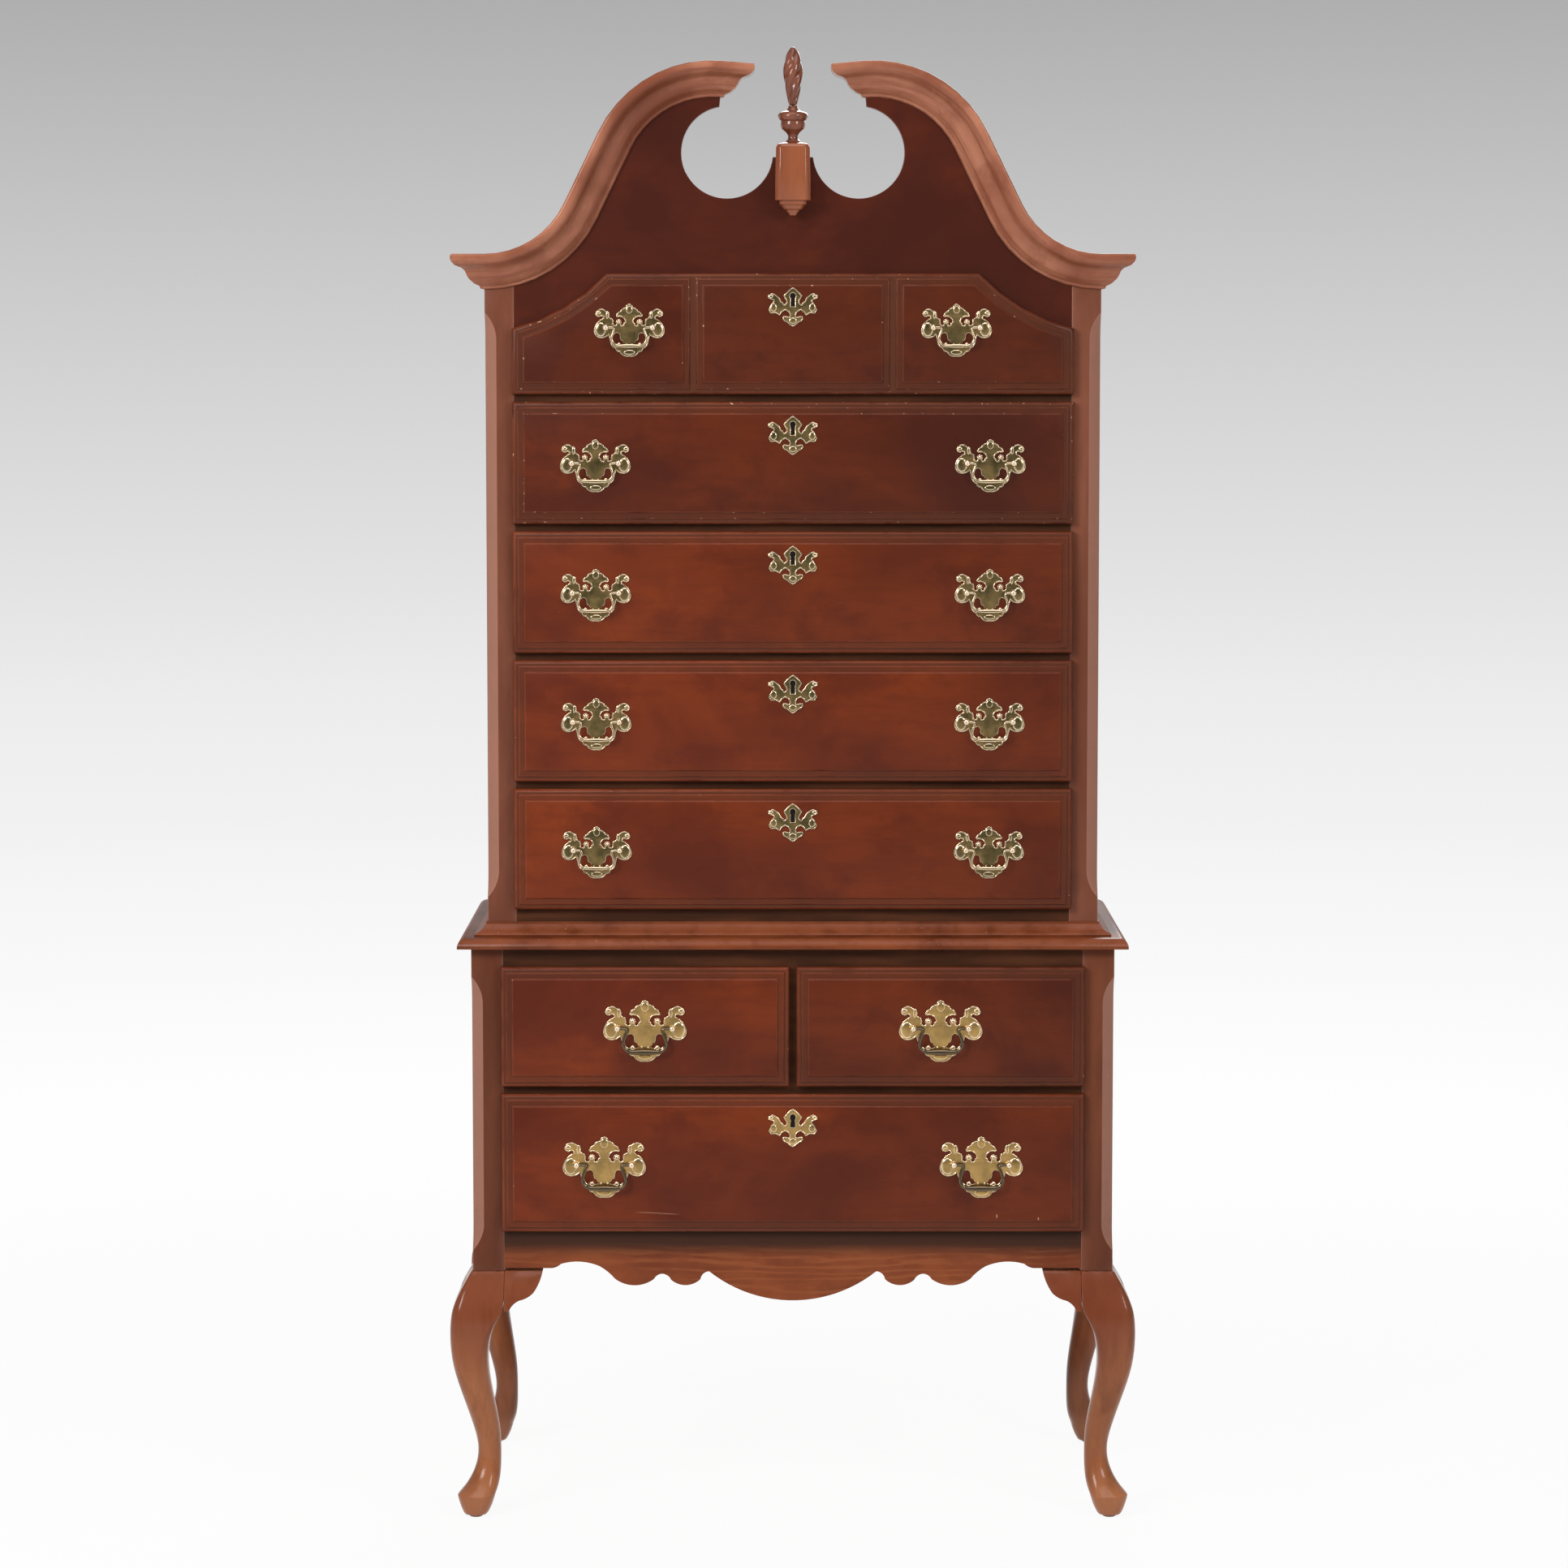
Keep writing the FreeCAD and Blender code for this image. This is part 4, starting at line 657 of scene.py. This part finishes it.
def bail(bore, arm, stout):
    """A bail hanging from its pins, with arms of a length in mm. It is stouter than drawn by
    the last factor."""
    scale = bore / BORE_DRAWN
    path = list(PIN)
    bend_from = PIN[-1][0]
    for step in range(1, BEND_STEPS + 1):
        turn = math.radians(90 + BAIL_LEAN * step / BEND_STEPS)
        path.append((bend_from + BEND * math.cos(turn), BEND * (math.sin(turn) - 1), BEND_THICK))
    lean = math.radians(180 + BAIL_LEAN)
    x, z, _ = path[-1]
    foot_x, foot_z = x + arm * math.cos(lean), z + arm * math.sin(lean)
    path += [((x + foot_x) / 2, (z + foot_z) / 2, ARM_THICK), (foot_x, foot_z, ARM_FOOT_THICK)]
    inward = math.radians(90 + BAIL_LEAN)
    middle = (foot_x + SWEEP * math.cos(inward), foot_z + SWEEP * math.sin(inward))
    for step in range(1, SWEEP_STEPS + 1):
        turn = math.radians(BAIL_LEAN - 90 - BAIL_LEAN * step / SWEEP_STEPS)
        path.append((middle[0] + SWEEP * math.cos(turn), middle[1] + SWEEP * math.sin(turn),
                     ARM_FOOT_THICK + SWEEP_SWELL * step))
    x, z, _ = path[-1]
    path += [(x * (1 - share), z, thick) for share, thick in BAR]
    path += [(-x, z, thick) for x, z, thick in reversed(path[:-1])]
    curve = bpy.data.curves.new("bail", "CURVE")
    curve.dimensions = "3D"
    curve.bevel_depth = MM
    curve.bevel_resolution = 5
    curve.use_fill_caps = True
    spline = curve.splines.new("POLY")
    spline.points.add(len(path) - 1)
    for corner, (x, z, thick) in zip(spline.points, path):
        corner.co = (x * scale * MM, 0, z * scale * MM, 1)
        corner.radius = thick if thick <= PIN_THICKEST else thick * scale * stout
    return smoothed(as_mesh(curve), angle=50)


OLIVE = paint(88, 78, 50)
OLD_GOLD = paint(136, 114, 74)
SATIN_GOLD = paint(154, 126, 78)
HONEY_GOLD = paint(186, 150, 92)
# Rubbed brass, pale enough to be partly a painted highlight on the rims.
WORN_HIGHLIT_GOLD = paint(255, 234, 202)
BRONZE = paint(84, 72, 58)
# The bronze bails' rims: rubbed, and partly a painted highlight.
BRONZE_SHINE = paint(124, 108, 90)
# For each bore, the length of a bail's arm in mm and how much stouter than drawn the bail is.
BAILS = {CHEST_BORE: (9.0, 1.0), BASE_BORE: (12.0, 1.2)}
HANDLED_FROM = 5 * MM  # out from the drawer's face, where hands keep the brass bright


def fit_brasses():
    """Place every plate, post, escutcheon and bail where its node is."""
    plates = {bore: pull_plate(bore) for bore in BAILS}
    rods = {bore: bail(bore, *shape) for bore, shape in BAILS.items()}
    lock = keyhole_plate()
    for place, drawer in enumerate(DRAWERS):
        in_chest = drawer in CHEST_DRAWERS
        bore = CHEST_BORE if in_chest else BASE_BORE
        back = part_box(drawer + "_brasses")[1].y
        colours = (OLIVE, OLD_GOLD) if in_chest else (SATIN_GOLD, HONEY_GOLD)
        metal = aged_brass(f"{drawer}_brass", place + 1, *colours, WORN_HIGHLIT_GOLD,
                           back - HANDLED_FROM)
        bail_colours = ((OLIVE, OLD_GOLD, WORN_HIGHLIT_GOLD) if in_chest
                        else (BRONZE, OLIVE, BRONZE_SHINE))
        bail_metal = aged_brass(f"{drawer}_bail_brass", place + 11, *bail_colours)
        names = [name for name in (drawer + "_left_bail", drawer + "_right_bail",
                                   drawer + "_bail") if name in frame["nodes"]]
        pieces = []
        for name in names:
            low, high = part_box(name)
            hinge = next(joint for joint in frame["joints"] if joint["child"] == name)
            x, z = (low.x + high.x) / 2, hinge["pos_m"][2]
            pieces.append(shifted(copied(plates[bore], "plate"), x, back, z))
            rod = shifted(copied(rods[bore], name + "_rod"), x, hinge["pos_m"][1], z)
            standing_in(rod, name, bail_metal)
        if len(names) == 2:
            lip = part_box(drawer + "_front")[1].z
            pieces.append(shifted(copied(lock, "plate"), 0, back, lip - ESCUTCHEON_DROP * MM))
        standing_in(joined(drawer + "_plates", pieces), drawer + "_brasses", metal)
    for piece in (*plates.values(), *rods.values(), lock):
        bpy.data.objects.remove(piece)


# ---------------------------------------------------------------- legs, finial and cornices

# From the knee's top down: height in mm, how far the outer side stands proud of the case, how far
# the inner side lies within it, and the rounding of the outer corner and of the others, as shares
# of half the width.
LEG_RINGS = [
    (347.0, 1.9, 44.0, 0.16, 0.04), (321.2, 17.6, 43.8, 0.26, 0.04),
    (297.0, 28.4, 43.4, 0.38, 0.05), (281.0, 30.8, 34.0, 0.48, 0.16),
    (259.4, 32.0, 23.4, 0.60, 0.40), (216.5, 29.6, 19.8, 0.76, 0.76),
    (166.7, 14.2, 28.6, 0.86, 0.86), (122.0, 0.0, 36.5, 0.94, 0.94),
    (92.1, -6.6, 37.0, 0.96, 0.96), (66.0, -1.6, 37.0, 0.94, 0.94),
    (45.1, 9.5, 34.8, 0.88, 0.88), (31.3, 23.0, 29.5, 0.66, 0.78),
    (18.5, 19.8, 26.0, 0.72, 0.80), (5.5, 15.0, 19.6, 0.82, 0.84),
    (3.5, 12.5, 17.0, 0.84, 0.86)]
PAD_RIM = 31.3  # height of the pad foot's crisp rim
RIM_NEAR = 0.05 * MM  # how near a rim's height an edge lies that is part of it
RIM_CREASE = 0.9
GLIDE_TURNING = [(8.5, 0), (9.5, 1), (9.5, 3.5), (4, 3.5)]


def leg_ring(height, proud, within, outer, others):
    """One section of the left front leg: a square with its corners rounded one by one."""
    half = (proud + within) / 2 * MM
    x, y = -BASE_HALF + half - proud * MM, BASE_FACE + half - proud * MM
    ring = begun(bpy.ops.mesh.primitive_plane_add, size=2 * half, location=(x, y, height * MM))
    settle(ring)
    for side_x, side_y in ((-1, -1), (1, -1), (1, 1), (-1, 1)):
        corner = Vector((x + side_x * half, y + side_y * half, height * MM))
        share = outer if side_x == side_y == -1 else others
        choose(ring, "vertices", lambda point: (point.co - corner).length < NEAR)
        edit(ring, (bpy.ops.mesh.bevel, {"offset": share * half, "segments": 5,
                                         "affect": "VERTICES"}), whole=False)
    return edit(ring, (bpy.ops.mesh.delete, {"type": "ONLY_FACE"}))


def cabriole_legs(finish):
    """The left front leg with its pad foot and glide, and the other three from it."""
    leg = bridged("leg", [leg_ring(*ring) for ring in LEG_RINGS])
    crisp = [LEG_RINGS[0][0] * MM, PAD_RIM * MM, LEG_RINGS[-1][0] * MM]

    def on_a_rim(edge):
        heights = [leg.data.vertices[point].co.z for point in edge.vertices]
        return any(abs(heights[0] - rim) + abs(heights[1] - rim) < RIM_NEAR for rim in crisp)

    choose(leg, "edges", on_a_rim)
    edit(leg, (bpy.ops.transform.edge_crease, {"value": RIM_CREASE}), whole=False)
    apply(leg, "SUBSURF", levels=2, render_levels=2)
    smoothed(leg, angle=38)
    inset = (LEG_RINGS[-1][2] - LEG_RINGS[-1][1]) / 2 * MM
    glide = shifted(turned("glide", GLIDE_TURNING), -BASE_HALF + inset, BASE_FACE + inset, 0)
    whole = joined("leg", [leg, glide])
    middle = (0, (BASE_FACE + BASE_REAR) / 2, 0)
    for node, sides in (("front_right_leg", (-1, 1, 1)), ("rear_left_leg", (1, -1, 1)),
                        ("rear_right_leg", (-1, -1, 1)), ("front_left_leg", (1, 1, 1))):
        standing_in(mirrored(whole, node + "_carved", sides, middle), node, finish)
    bpy.data.objects.remove(whole)


CUP_TURNING = [(9.6, 0), (10.2, 0.7), (9.9, 1.9), (8.2, 3.0), (7.1, 4.4), (6.7, 6.2), (6.7, 8.0),
               (7.4, 10.2), (9.4, 13.0), (12.8, 15.8), (15.4, 18.0), (16.5, 20.4), (16.7, 24.0),
               (16.5, 27.6), (16.2, 28.6), (17.4, 29.2), (18.9, 30.6), (20.2, 33.2), (20.6, 35.6),
               (20.1, 38.0), (18.2, 40.0), (15.0, 41.2), (11.6, 41.9), (9.2, 43.0), (8.8, 43.9),
               (7.4, 45.2), (6.4, 47.2), (6.1, 49.4)]
# The flame above its cup: height in mm, half width.
FLAME_STATIONS = [(49, 6.3), (55.4, 7.2), (67.4, 10.5), (78.6, 13.1), (90.6, 14.4), (100.2, 14.3),
                  (108.2, 13.0), (115.4, 10.7), (121.8, 7.7), (126.0, 4.8), (128.6, 1.8)]
FLAME_LOBES = 4
LOBE_POINTS = 4
FLAME_TWIST = math.radians(240)
FLUTE = 0.73  # how far out the hollow between two lobes lies, as a share of the radius


def spiral_finial(finish):
    """The turned cup and the twisted flame that rises from it."""
    cup = turned("finial_cup", CUP_TURNING, around=48)
    foot, radius = FLAME_STATIONS[0]
    flame = begun(bpy.ops.mesh.primitive_circle_add, vertices=FLAME_LOBES * LOBE_POINTS,
                  radius=radius * MM, fill_type="NGON", location=(0, 0, foot * MM))
    settle(flame)
    choose(flame, "vertices", lambda corner: corner.index % LOBE_POINTS == 0)
    edit(flame, (bpy.ops.transform.resize, {"value": (FLUTE, FLUTE, 1),
                                            "center_override": (0, 0, 0)}), whole=False)
    tall = FLAME_STATIONS[-1][0] - foot
    steps = []
    for (low, before), (high, after) in zip(FLAME_STATIONS, FLAME_STATIONS[1:]):
        steps += drawn_up(high - low, after / before)
        steps.append((bpy.ops.transform.rotate, {"value": -FLAME_TWIST * (high - low) / tall,
                                                 "orient_axis": "Z",
                                                 "center_override": (0, 0, 0)}))
    edit(flame, *steps)
    edit(flame, OUTWARD)
    apply(flame, "SUBSURF", levels=3, render_levels=3)
    whole = joined("spiral_finial", [cup, smoothed(flame, angle=60)])
    low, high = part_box("finial")
    shifted(whole, (low.x + high.x) / 2, (low.y + high.y) / 2, low.z)
    standing_in(whole, "finial", finish)


CROWN_PROJECTION = 44 * MM
CHEST_HALF = 422.5 * MM
NECK_TIP = 51.5 * MM  # from the middle to a cornice's inner end
TIP_DEPTH = 4.5 * MM  # how far in from that end the nosing is taken
NOSE_ROUND = 3.4 * MM
NOSE_DEPTH = 0.3 * MM  # how far in from the outermost line the nosing is taken
NOSE_ANGLE = 28  # degrees at which two faces of it meet, at least


def swan_neck(node, finish):
    """A cornice: the node's moulding with its nosing rounded over, on the run and returns."""
    piece = shaped_from(node)
    mesh = piece.data
    outermost = CHEST_FACE - CROWN_PROJECTION + NOSE_DEPTH
    farthest = CHEST_HALF + CROWN_PROJECTION - NOSE_DEPTH

    def on_the_nose(point):
        spot = mesh.vertices[point].co
        return (spot.y < outermost or abs(spot.x) > farthest
                or abs(spot.x) < NECK_TIP + TIP_DEPTH)

    folded = {}
    for face in mesh.polygons:
        for key in face.edge_keys:
            folded.setdefault(key, []).append(face.normal)

    def sharp(edge):
        sides = folded[edge.key]
        return len(sides) == 2 and sides[0].angle(sides[1]) > math.radians(NOSE_ANGLE)

    choose(piece, "edges", lambda edge: sharp(edge) and all(map(on_the_nose, edge.vertices)))
    edit(piece, (bpy.ops.mesh.bevel, {"offset": NOSE_ROUND, "segments": 4, "profile": 0.5,
                                      "affect": "EDGES", "clamp_overlap": True}), whole=False)
    standing_in(eased(piece, width=0.3, angle=34), node, finish)


# ---------------------------------------------------------------- the piece

SCRATCH_HEIGHT = 431.5 * MM
SCRATCH_FROM = -222 * MM
SCRATCH_TO = -152 * MM
SCRATCH_FADE = 20 * MM  # the part of each end over which it fades
SCRATCH_WAVES = 52.0  # radians in a metre
SCRATCH_SWING = 1.2 * MM
SCRATCH_WIDTH = (0.2 * MM, 0.6 * MM)  # from its middle to where it begins and ends fading
# Small nicks in the long drawer: place across and up, half width, half height.
NICKS = [(0.2825, 0.4275, 0.0009, 0.0030), (0.3400, 0.4240, 0.0008, 0.0022)]


def scratched(wood, colour):
    """A pale curved scratch low on the long drawer, and two nicks."""
    x, z = wood.along("X"), wood.along("Z")
    wave = (x * SCRATCH_WAVES).math("SINE") * SCRATCH_SWING
    line = (z - SCRATCH_HEIGHT - wave).within(*SCRATCH_WIDTH)
    run = x.rising(SCRATCH_FROM, SCRATCH_FROM + SCRATCH_FADE)
    run = run * (1 - x.rising(SCRATCH_TO - SCRATCH_FADE, SCRATCH_TO))
    marks = line * run * 0.45
    for across, up, wide, tall in NICKS:
        nick = (x - across).within(wide * 0.5, wide) * (z - up).within(tall * 0.6, tall)
        marks = marks.larger(nick * 0.8)
    return wood.blend(marks, colour, BARE)


# Depths out from the case's face in a drawer's front: the raw wood at its back, the part behind
# a keyhole that is painted in shade, and the step from the moulded border to the field.
RAW_TO = (-1.5 * MM, -0.5 * MM)
KEYHOLE_FROM = (10 * MM, 12 * MM)
FIELD_FROM = (16.4 * MM, 18.4 * MM)
KEYHOLE_FADE = 1.1  # where the keyhole's painted shade ends, as a share of its half width and height
RAILS_TO = (12 * MM, 14 * MM)  # how far in from the case's face the rails are stained and painted in shade
SHADE_TO_RIGHT_FROM = (-0.40, 0.40)  # painted shade, darkening the fronts from left to right between these
# Heights between which a leg's knee darkens, its foot's light ends and the painted shadow under the
# long drawer's lip begins.
KNEE_FROM = (0.17, 0.30)
FOOT_TO = (0.02, 0.06)
LIP_SHADOW_FROM = (0.362, 0.388)


def drawer_front(face, lock_height, marks):
    """The rest of a front's colour: darker to the right as painted shade, painted shade in the keyhole
    behind its plate, browner borders, and raw wood at the back."""
    def layers(wood, colour):
        depth = face - wood.along("Y")
        # Painted shade: darker to the right, where less of the lamps' light falls.
        colour = wood.blend(wood.along("X").rising(*SHADE_TO_RIGHT_FROM) * 0.25, colour, GRIME_AND_SHADE)
        if lock_height is not None:
            wide, tall = KEYHOLE_WIDE * MM, KEYHOLE_TALL * MM
            hole = wood.along("X").within(wide, KEYHOLE_FADE * wide)
            hole = hole * (wood.along("Z") - lock_height).within(tall, KEYHOLE_FADE * tall)
            # Painted shade inside the keyhole, on the wood behind its plate.
            colour = wood.blend(hole * depth.rising(*KEYHOLE_FROM), colour, KEYHOLE_SHADE)
        border = 1 - depth.rising(*FIELD_FROM)
        colour = wood.blend(border * (1 - wood.slant()) * 0.75, colour, BORDER)
        if marks:
            colour = marks(wood, colour)
        raw = wood.blend(wood.cloud(wood.place(GRAIN["X"]), 30.0).rising(0.35, 0.65),
                         RAW_DARK, RAW_LIGHT)
        return wood.blend(1 - depth.rising(*RAW_TO), colour, raw)
    return layers


def shaded_front_rails(face):
    """Stain and painted shade on the part of the frames that shows between the drawers."""
    def layers(wood, colour):
        shown = 1 - (wood.along("Y") - face).rising(*RAILS_TO)
        dust = wood.cloud(wood.place(GRAIN["X"]), 40.0).rising(0.35, 0.70)
        return wood.blend(shown, colour, wood.blend(dust, RAIL_STAIN_SHADE_DARK, RAIL_STAIN_SHADE_LIGHT))
    return layers


def leg_shades(wood, colour):
    """A leg's colour from its dark knee through the tan shank to the light foot."""
    height = wood.along("Z")
    colour = wood.blend(height.rising(*KNEE_FROM) * 0.75, colour, KNEE)
    return wood.blend((1 - height.rising(*FOOT_TO)) * 0.7, colour, FOOT)


def apron_lip_shadow(wood, colour):
    """A painted shadow: the dark band that the long drawer's lip casts on the apron below it."""
    return wood.blend(wood.along("Z").rising(*LIP_SHADOW_FROM) * 0.95, colour, LIP_SHADOW)


def highlit_chamfers(wood, colour):
    """The paler chamfers of the posts: a painted highlight, as if they caught the light."""
    return wood.blend(wood.slant() * 0.6, colour, CHAMFER_HIGHLIGHT)


def light_scaled(colour, strength):
    """A colour made lighter (over 1) or darker, to paint light and shade into it."""
    return (*(min(1.0, level * strength) for level in colour[:3]), 1.0)


# Painted light and shade on each front, in the order of DRAWERS: over 1 lighter, under 1 darker.
FRONT_LIGHT_AND_SHADE = [0.71, 0.84, 1.12, 1.30, 1.24, 1.24, 1.05, 1.24]
DEEP = paint(78, 27, 11)
RED = paint(100, 39, 14)
EMBER = paint(130, 54, 18)
BORDER = paint(86, 48, 31)
# A painted highlight on the posts' chamfers.
CHAMFER_HIGHLIGHT = paint(176, 128, 110)
# Painted shade inside a keyhole.
KEYHOLE_SHADE = paint(20, 11, 7)
# The rails between the drawers: their stain, darkened with painted shade.
RAIL_STAIN_SHADE_DARK = paint(62, 34, 19)
RAIL_STAIN_SHADE_LIGHT = paint(90, 51, 30)
KNEE = paint(112, 48, 25)
FOOT = paint(178, 114, 76)
# The painted shadow under the long drawer's lip.
LIP_SHADOW = paint(54, 30, 18)
FRAME_DARK = paint(126, 90, 58)
FRAME_LIGHT = paint(168, 128, 88)


def dress_woods():
    """Put the finish on every wooden piece, and the hand-worked shape in where there is one."""
    for place, drawer in enumerate(DRAWERS):
        face = CHEST_FACE if drawer in CHEST_DRAWERS else BASE_FACE
        marks = scratched if drawer == "base_long_drawer" else None
        lock = None
        if drawer + "_bail" not in frame["nodes"]:
            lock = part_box(drawer + "_front")[1].z - (ESCUTCHEON_DROP - KEYHOLE_MIDDLE) * MM
        # Each front's stain carries painted light and shade for how the lamps fall on it.
        lit_stains = [light_scaled(colour, FRONT_LIGHT_AND_SHADE[place]) for colour in (DEEP, RED, EMBER)]
        finish = stained_wood(f"{drawer}_polish", "X", place * 1.7 + 0.6, *lit_stains, glow=0.9,
                              wear_and_highlight=0.28, chips=0.70 if place < 2 else 0.76,
                              extra=drawer_front(face, lock, marks))
        worked_over(drawer + "_front", finish, ease=0.5)
        finished(drawer + "_box", plain_wood(f"{drawer}_inner", "Y", place + 0.3,
                                             RAW_DARK, RAW_LIGHT))
    worked_over("chest_posts", stained_wood("chest_post_polish", "Z", 3.1, paint(104, 56, 38),
                                            paint(126, 74, 54), paint(150, 94, 70), glow=0.6,
                                            wear_and_highlight=0.4, extra=highlit_chamfers))
    worked_over("base_posts", stained_wood("base_post_polish", "Z", 6.9, paint(90, 46, 28),
                                           paint(112, 60, 38), paint(138, 82, 56), glow=0.6,
                                           wear_and_highlight=0.4, extra=highlit_chamfers))
    side = stained_wood("side_polish", "Z", 7.7, paint(84, 34, 18), paint(112, 50, 26),
                        paint(142, 72, 36), glow=0.6, wear_and_highlight=0.5)
    for node in ("chest_sides", "base_sides"):
        finished(node, side)
    level = stained_wood("level_polish", "X", 5.2, paint(86, 38, 18), paint(124, 62, 32),
                         paint(156, 88, 50), glow=0.6, wear_and_highlight=0.5)
    worked_over("base_top", level, ease=0.5)
    worked_over("chest_base_moulding", level, ease=0.25)
    finished("chest_top", level)
    crest = stained_wood("pediment_polish", "X", 9.4, paint(62, 20, 8), paint(80, 29, 12),
                         paint(102, 42, 18), glow=0.6, wear_and_highlight=0.3)
    worked_over("pediment_board", crest, ease=0.7, board=True)
    # The apron carries a painted shadow under the long drawer's lip.
    skirt = stained_wood("apron_polish", "X", 11.9, paint(110, 50, 24), paint(138, 70, 37),
                         paint(168, 98, 56), glow=0.6, wear_and_highlight=0.4, figure=0.35, extra=apron_lip_shadow)
    worked_over("front_apron", skirt)
    crown = stained_wood("crown_polish", "run", 13.3, paint(128, 70, 48), paint(174, 112, 86),
                         paint(196, 138, 106), glow=0.6, wear_and_highlight=0.0, gloss=0.28, polish=0.2,
                         lines=0.75)
    for node in ("left_cornice", "right_cornice"):
        swan_neck(node, crown)
    block = stained_wood("plinth_polish", "Z", 15.1, paint(122, 62, 35), paint(154, 86, 51),
                         paint(176, 106, 64), glow=0.5, wear_and_highlight=0.35, gloss=0.22, polish=0.7)
    worked_over("finial_plinth", block, ease=0.9)
    spiral_finial(stained_wood("finial_polish", "Z", 16.2, paint(84, 38, 24),
                               paint(134, 76, 52), paint(168, 108, 78), glow=0.7, wear_and_highlight=0.0,
                               gloss=0.20, polish=0.7, lines=0.7))
    limb = stained_wood("leg_polish", "Z", 17.8, paint(118, 62, 34), paint(164, 100, 62),
                        paint(188, 122, 80), glow=0.8, wear_and_highlight=0.0, gloss=0.24, polish=0.3,
                        extra=leg_shades)
    cabriole_legs(limb)
    worked_over("knee_brackets", limb, ease=0.5)
    finished("chest_frames", plain_wood("chest_frame_wood", "X", 4.4, FRAME_DARK, FRAME_LIGHT,
                                        shaded_front_rails(CHEST_FACE)))
    finished("base_frames", plain_wood("base_frame_wood", "X", 6.1, FRAME_DARK, FRAME_LIGHT,
                                       shaded_front_rails(BASE_FACE)))
    rear = plain_wood("back_wood", "Z", 8.8, paint(112, 78, 52), paint(150, 110, 76))
    for node in ("chest_back", "base_back"):
        finished(node, rear)


# ---------------------------------------------------------------- studio

FLOOR_RADIUS = 16.0
FLOOR_PAINT = grey(236)
# The share of the floor's look that is its own pale light near the piece, and the distances
# between which that rises to all of it.
FLOOR_GLOW = 0.93
FLOOR_TURN = (1.2, 3.6)
# Share of the floor's radius, and its grey.
FLOOR_FADE = [(0.0, grey(255)), (0.19, grey(254.5)), (0.26, grey(253)), (0.35, grey(249.5)),
              (0.466, grey(246)), (0.625, grey(241)), (0.85, grey(238)), (1.0, grey(236))]
# How high the eye looks, from a little below level, and the backdrop's grey there.
SKY_FADE = [(0.0, grey(240)), (0.258, grey(236)), (0.31, grey(226)), (0.379, grey(213)),
            (0.447, grey(199)), (0.515, grey(183)), (0.547, grey(175)), (1.0, grey(166))]
SKY_LOWEST = 0.2
SKY_STRETCH = 2.0
AMBIENT = 0.24
# Name, place, aim, width and power of each soft lamp.
LAMPS = [("left_lamp", (-2.5, -3.3, 2.9), (0, -0.2, 0.95), 1.5, 112),
         ("right_lamp", (2.6, -3.4, 2.9), (0, -0.2, 0.95), 1.3, 56),
         ("top_lamp", (0.0, -1.6, 4.6), (0, 0, 0.9), 2.4, 40),
         ("back_lamp", (0.6, 3.6, 3.2), (0, 0, 1.0), 2.0, 70)]
CAMERA_PLACE = (-0.0121, -6.684, 1.613)
CAMERA_TILT = 5.19  # degrees below level


def studio():
    """A pale floor and backdrop, soft lamps and the camera."""
    floor = begun(bpy.ops.mesh.primitive_circle_add, vertices=96, radius=FLOOR_RADIUS,
                  fill_type="NGON")
    floor.name = "studio_floor"
    ground = Finish("floor_paint")
    distance = ground.node("VectorMath", {"operation": "LENGTH"},
                           {0: ground.node("TexCoord", out="Object")}, out="Value")
    shade = ground.node("ValToRGB", {"stops": FLOOR_FADE}, {"Fac": distance * (1 / FLOOR_RADIUS)})
    seen = ground.node("LightPath", out="Is Camera Ray").larger(
        ground.node("LightPath", out="Is Glossy Ray"))
    surface = ground.node("MixShader", {}, {
        0: seen * (distance.rising(*FLOOR_TURN) * (1 - FLOOR_GLOW) + FLOOR_GLOW),
        1: ground.node("BsdfDiffuse", {}, {"Color": FLOOR_PAINT}),
        2: ground.node("Emission", {}, {"Color": shade, "Strength": 1.0})})
    ground.node("OutputMaterial", {}, {"Surface": surface})
    floor.data.materials.append(ground.holder)

    world = bpy.data.worlds.new("studio_world")
    bpy.context.scene.world = world
    sky = Finish("studio_world", world)
    height = sky.node("SeparateXYZ", {}, {0: sky.node("TexCoord", out="Generated")}, out="Z")
    backdrop = sky.node("ValToRGB", {"stops": SKY_FADE},
                        {"Fac": (height + SKY_LOWEST) * SKY_STRETCH})
    seen = sky.node("LightPath", out="Is Camera Ray").larger(
        sky.node("LightPath", out="Is Glossy Ray")).larger(
        sky.node("LightPath", out="Is Transmission Ray"))
    surface = sky.node("MixShader", {}, {
        0: seen,
        1: sky.node("Background", {}, {"Color": (1, 1, 1, 1), "Strength": AMBIENT}),
        2: sky.node("Background", {}, {"Color": backdrop, "Strength": 1.0})})
    sky.node("OutputWorld", {}, {"Surface": surface})

    for name, place, aim, wide, power in LAMPS:
        lamp = bpy.data.lights.new(name, "AREA")
        lamp.shape = "SQUARE"
        lamp.size = wide
        lamp.energy = power
        stand = bpy.data.objects.new(name, lamp)
        stand.location = place
        stand.rotation_euler = (Vector(aim) - Vector(place)).to_track_quat("-Z", "Y").to_euler()
        bpy.context.scene.collection.objects.link(stand)

    lens = bpy.data.cameras.new("camera")
    lens.sensor_width = 36
    lens.lens = 108.1
    lens.clip_end = 60
    camera = bpy.data.objects.new("camera", lens)
    camera.location = CAMERA_PLACE
    camera.rotation_euler = (math.radians(90 - CAMERA_TILT), 0, 0)
    bpy.context.scene.collection.objects.link(camera)
    bpy.context.scene.camera = camera
    bpy.context.scene.view_settings.view_transform = "Standard"


dress_woods()
fit_brasses()
studio()
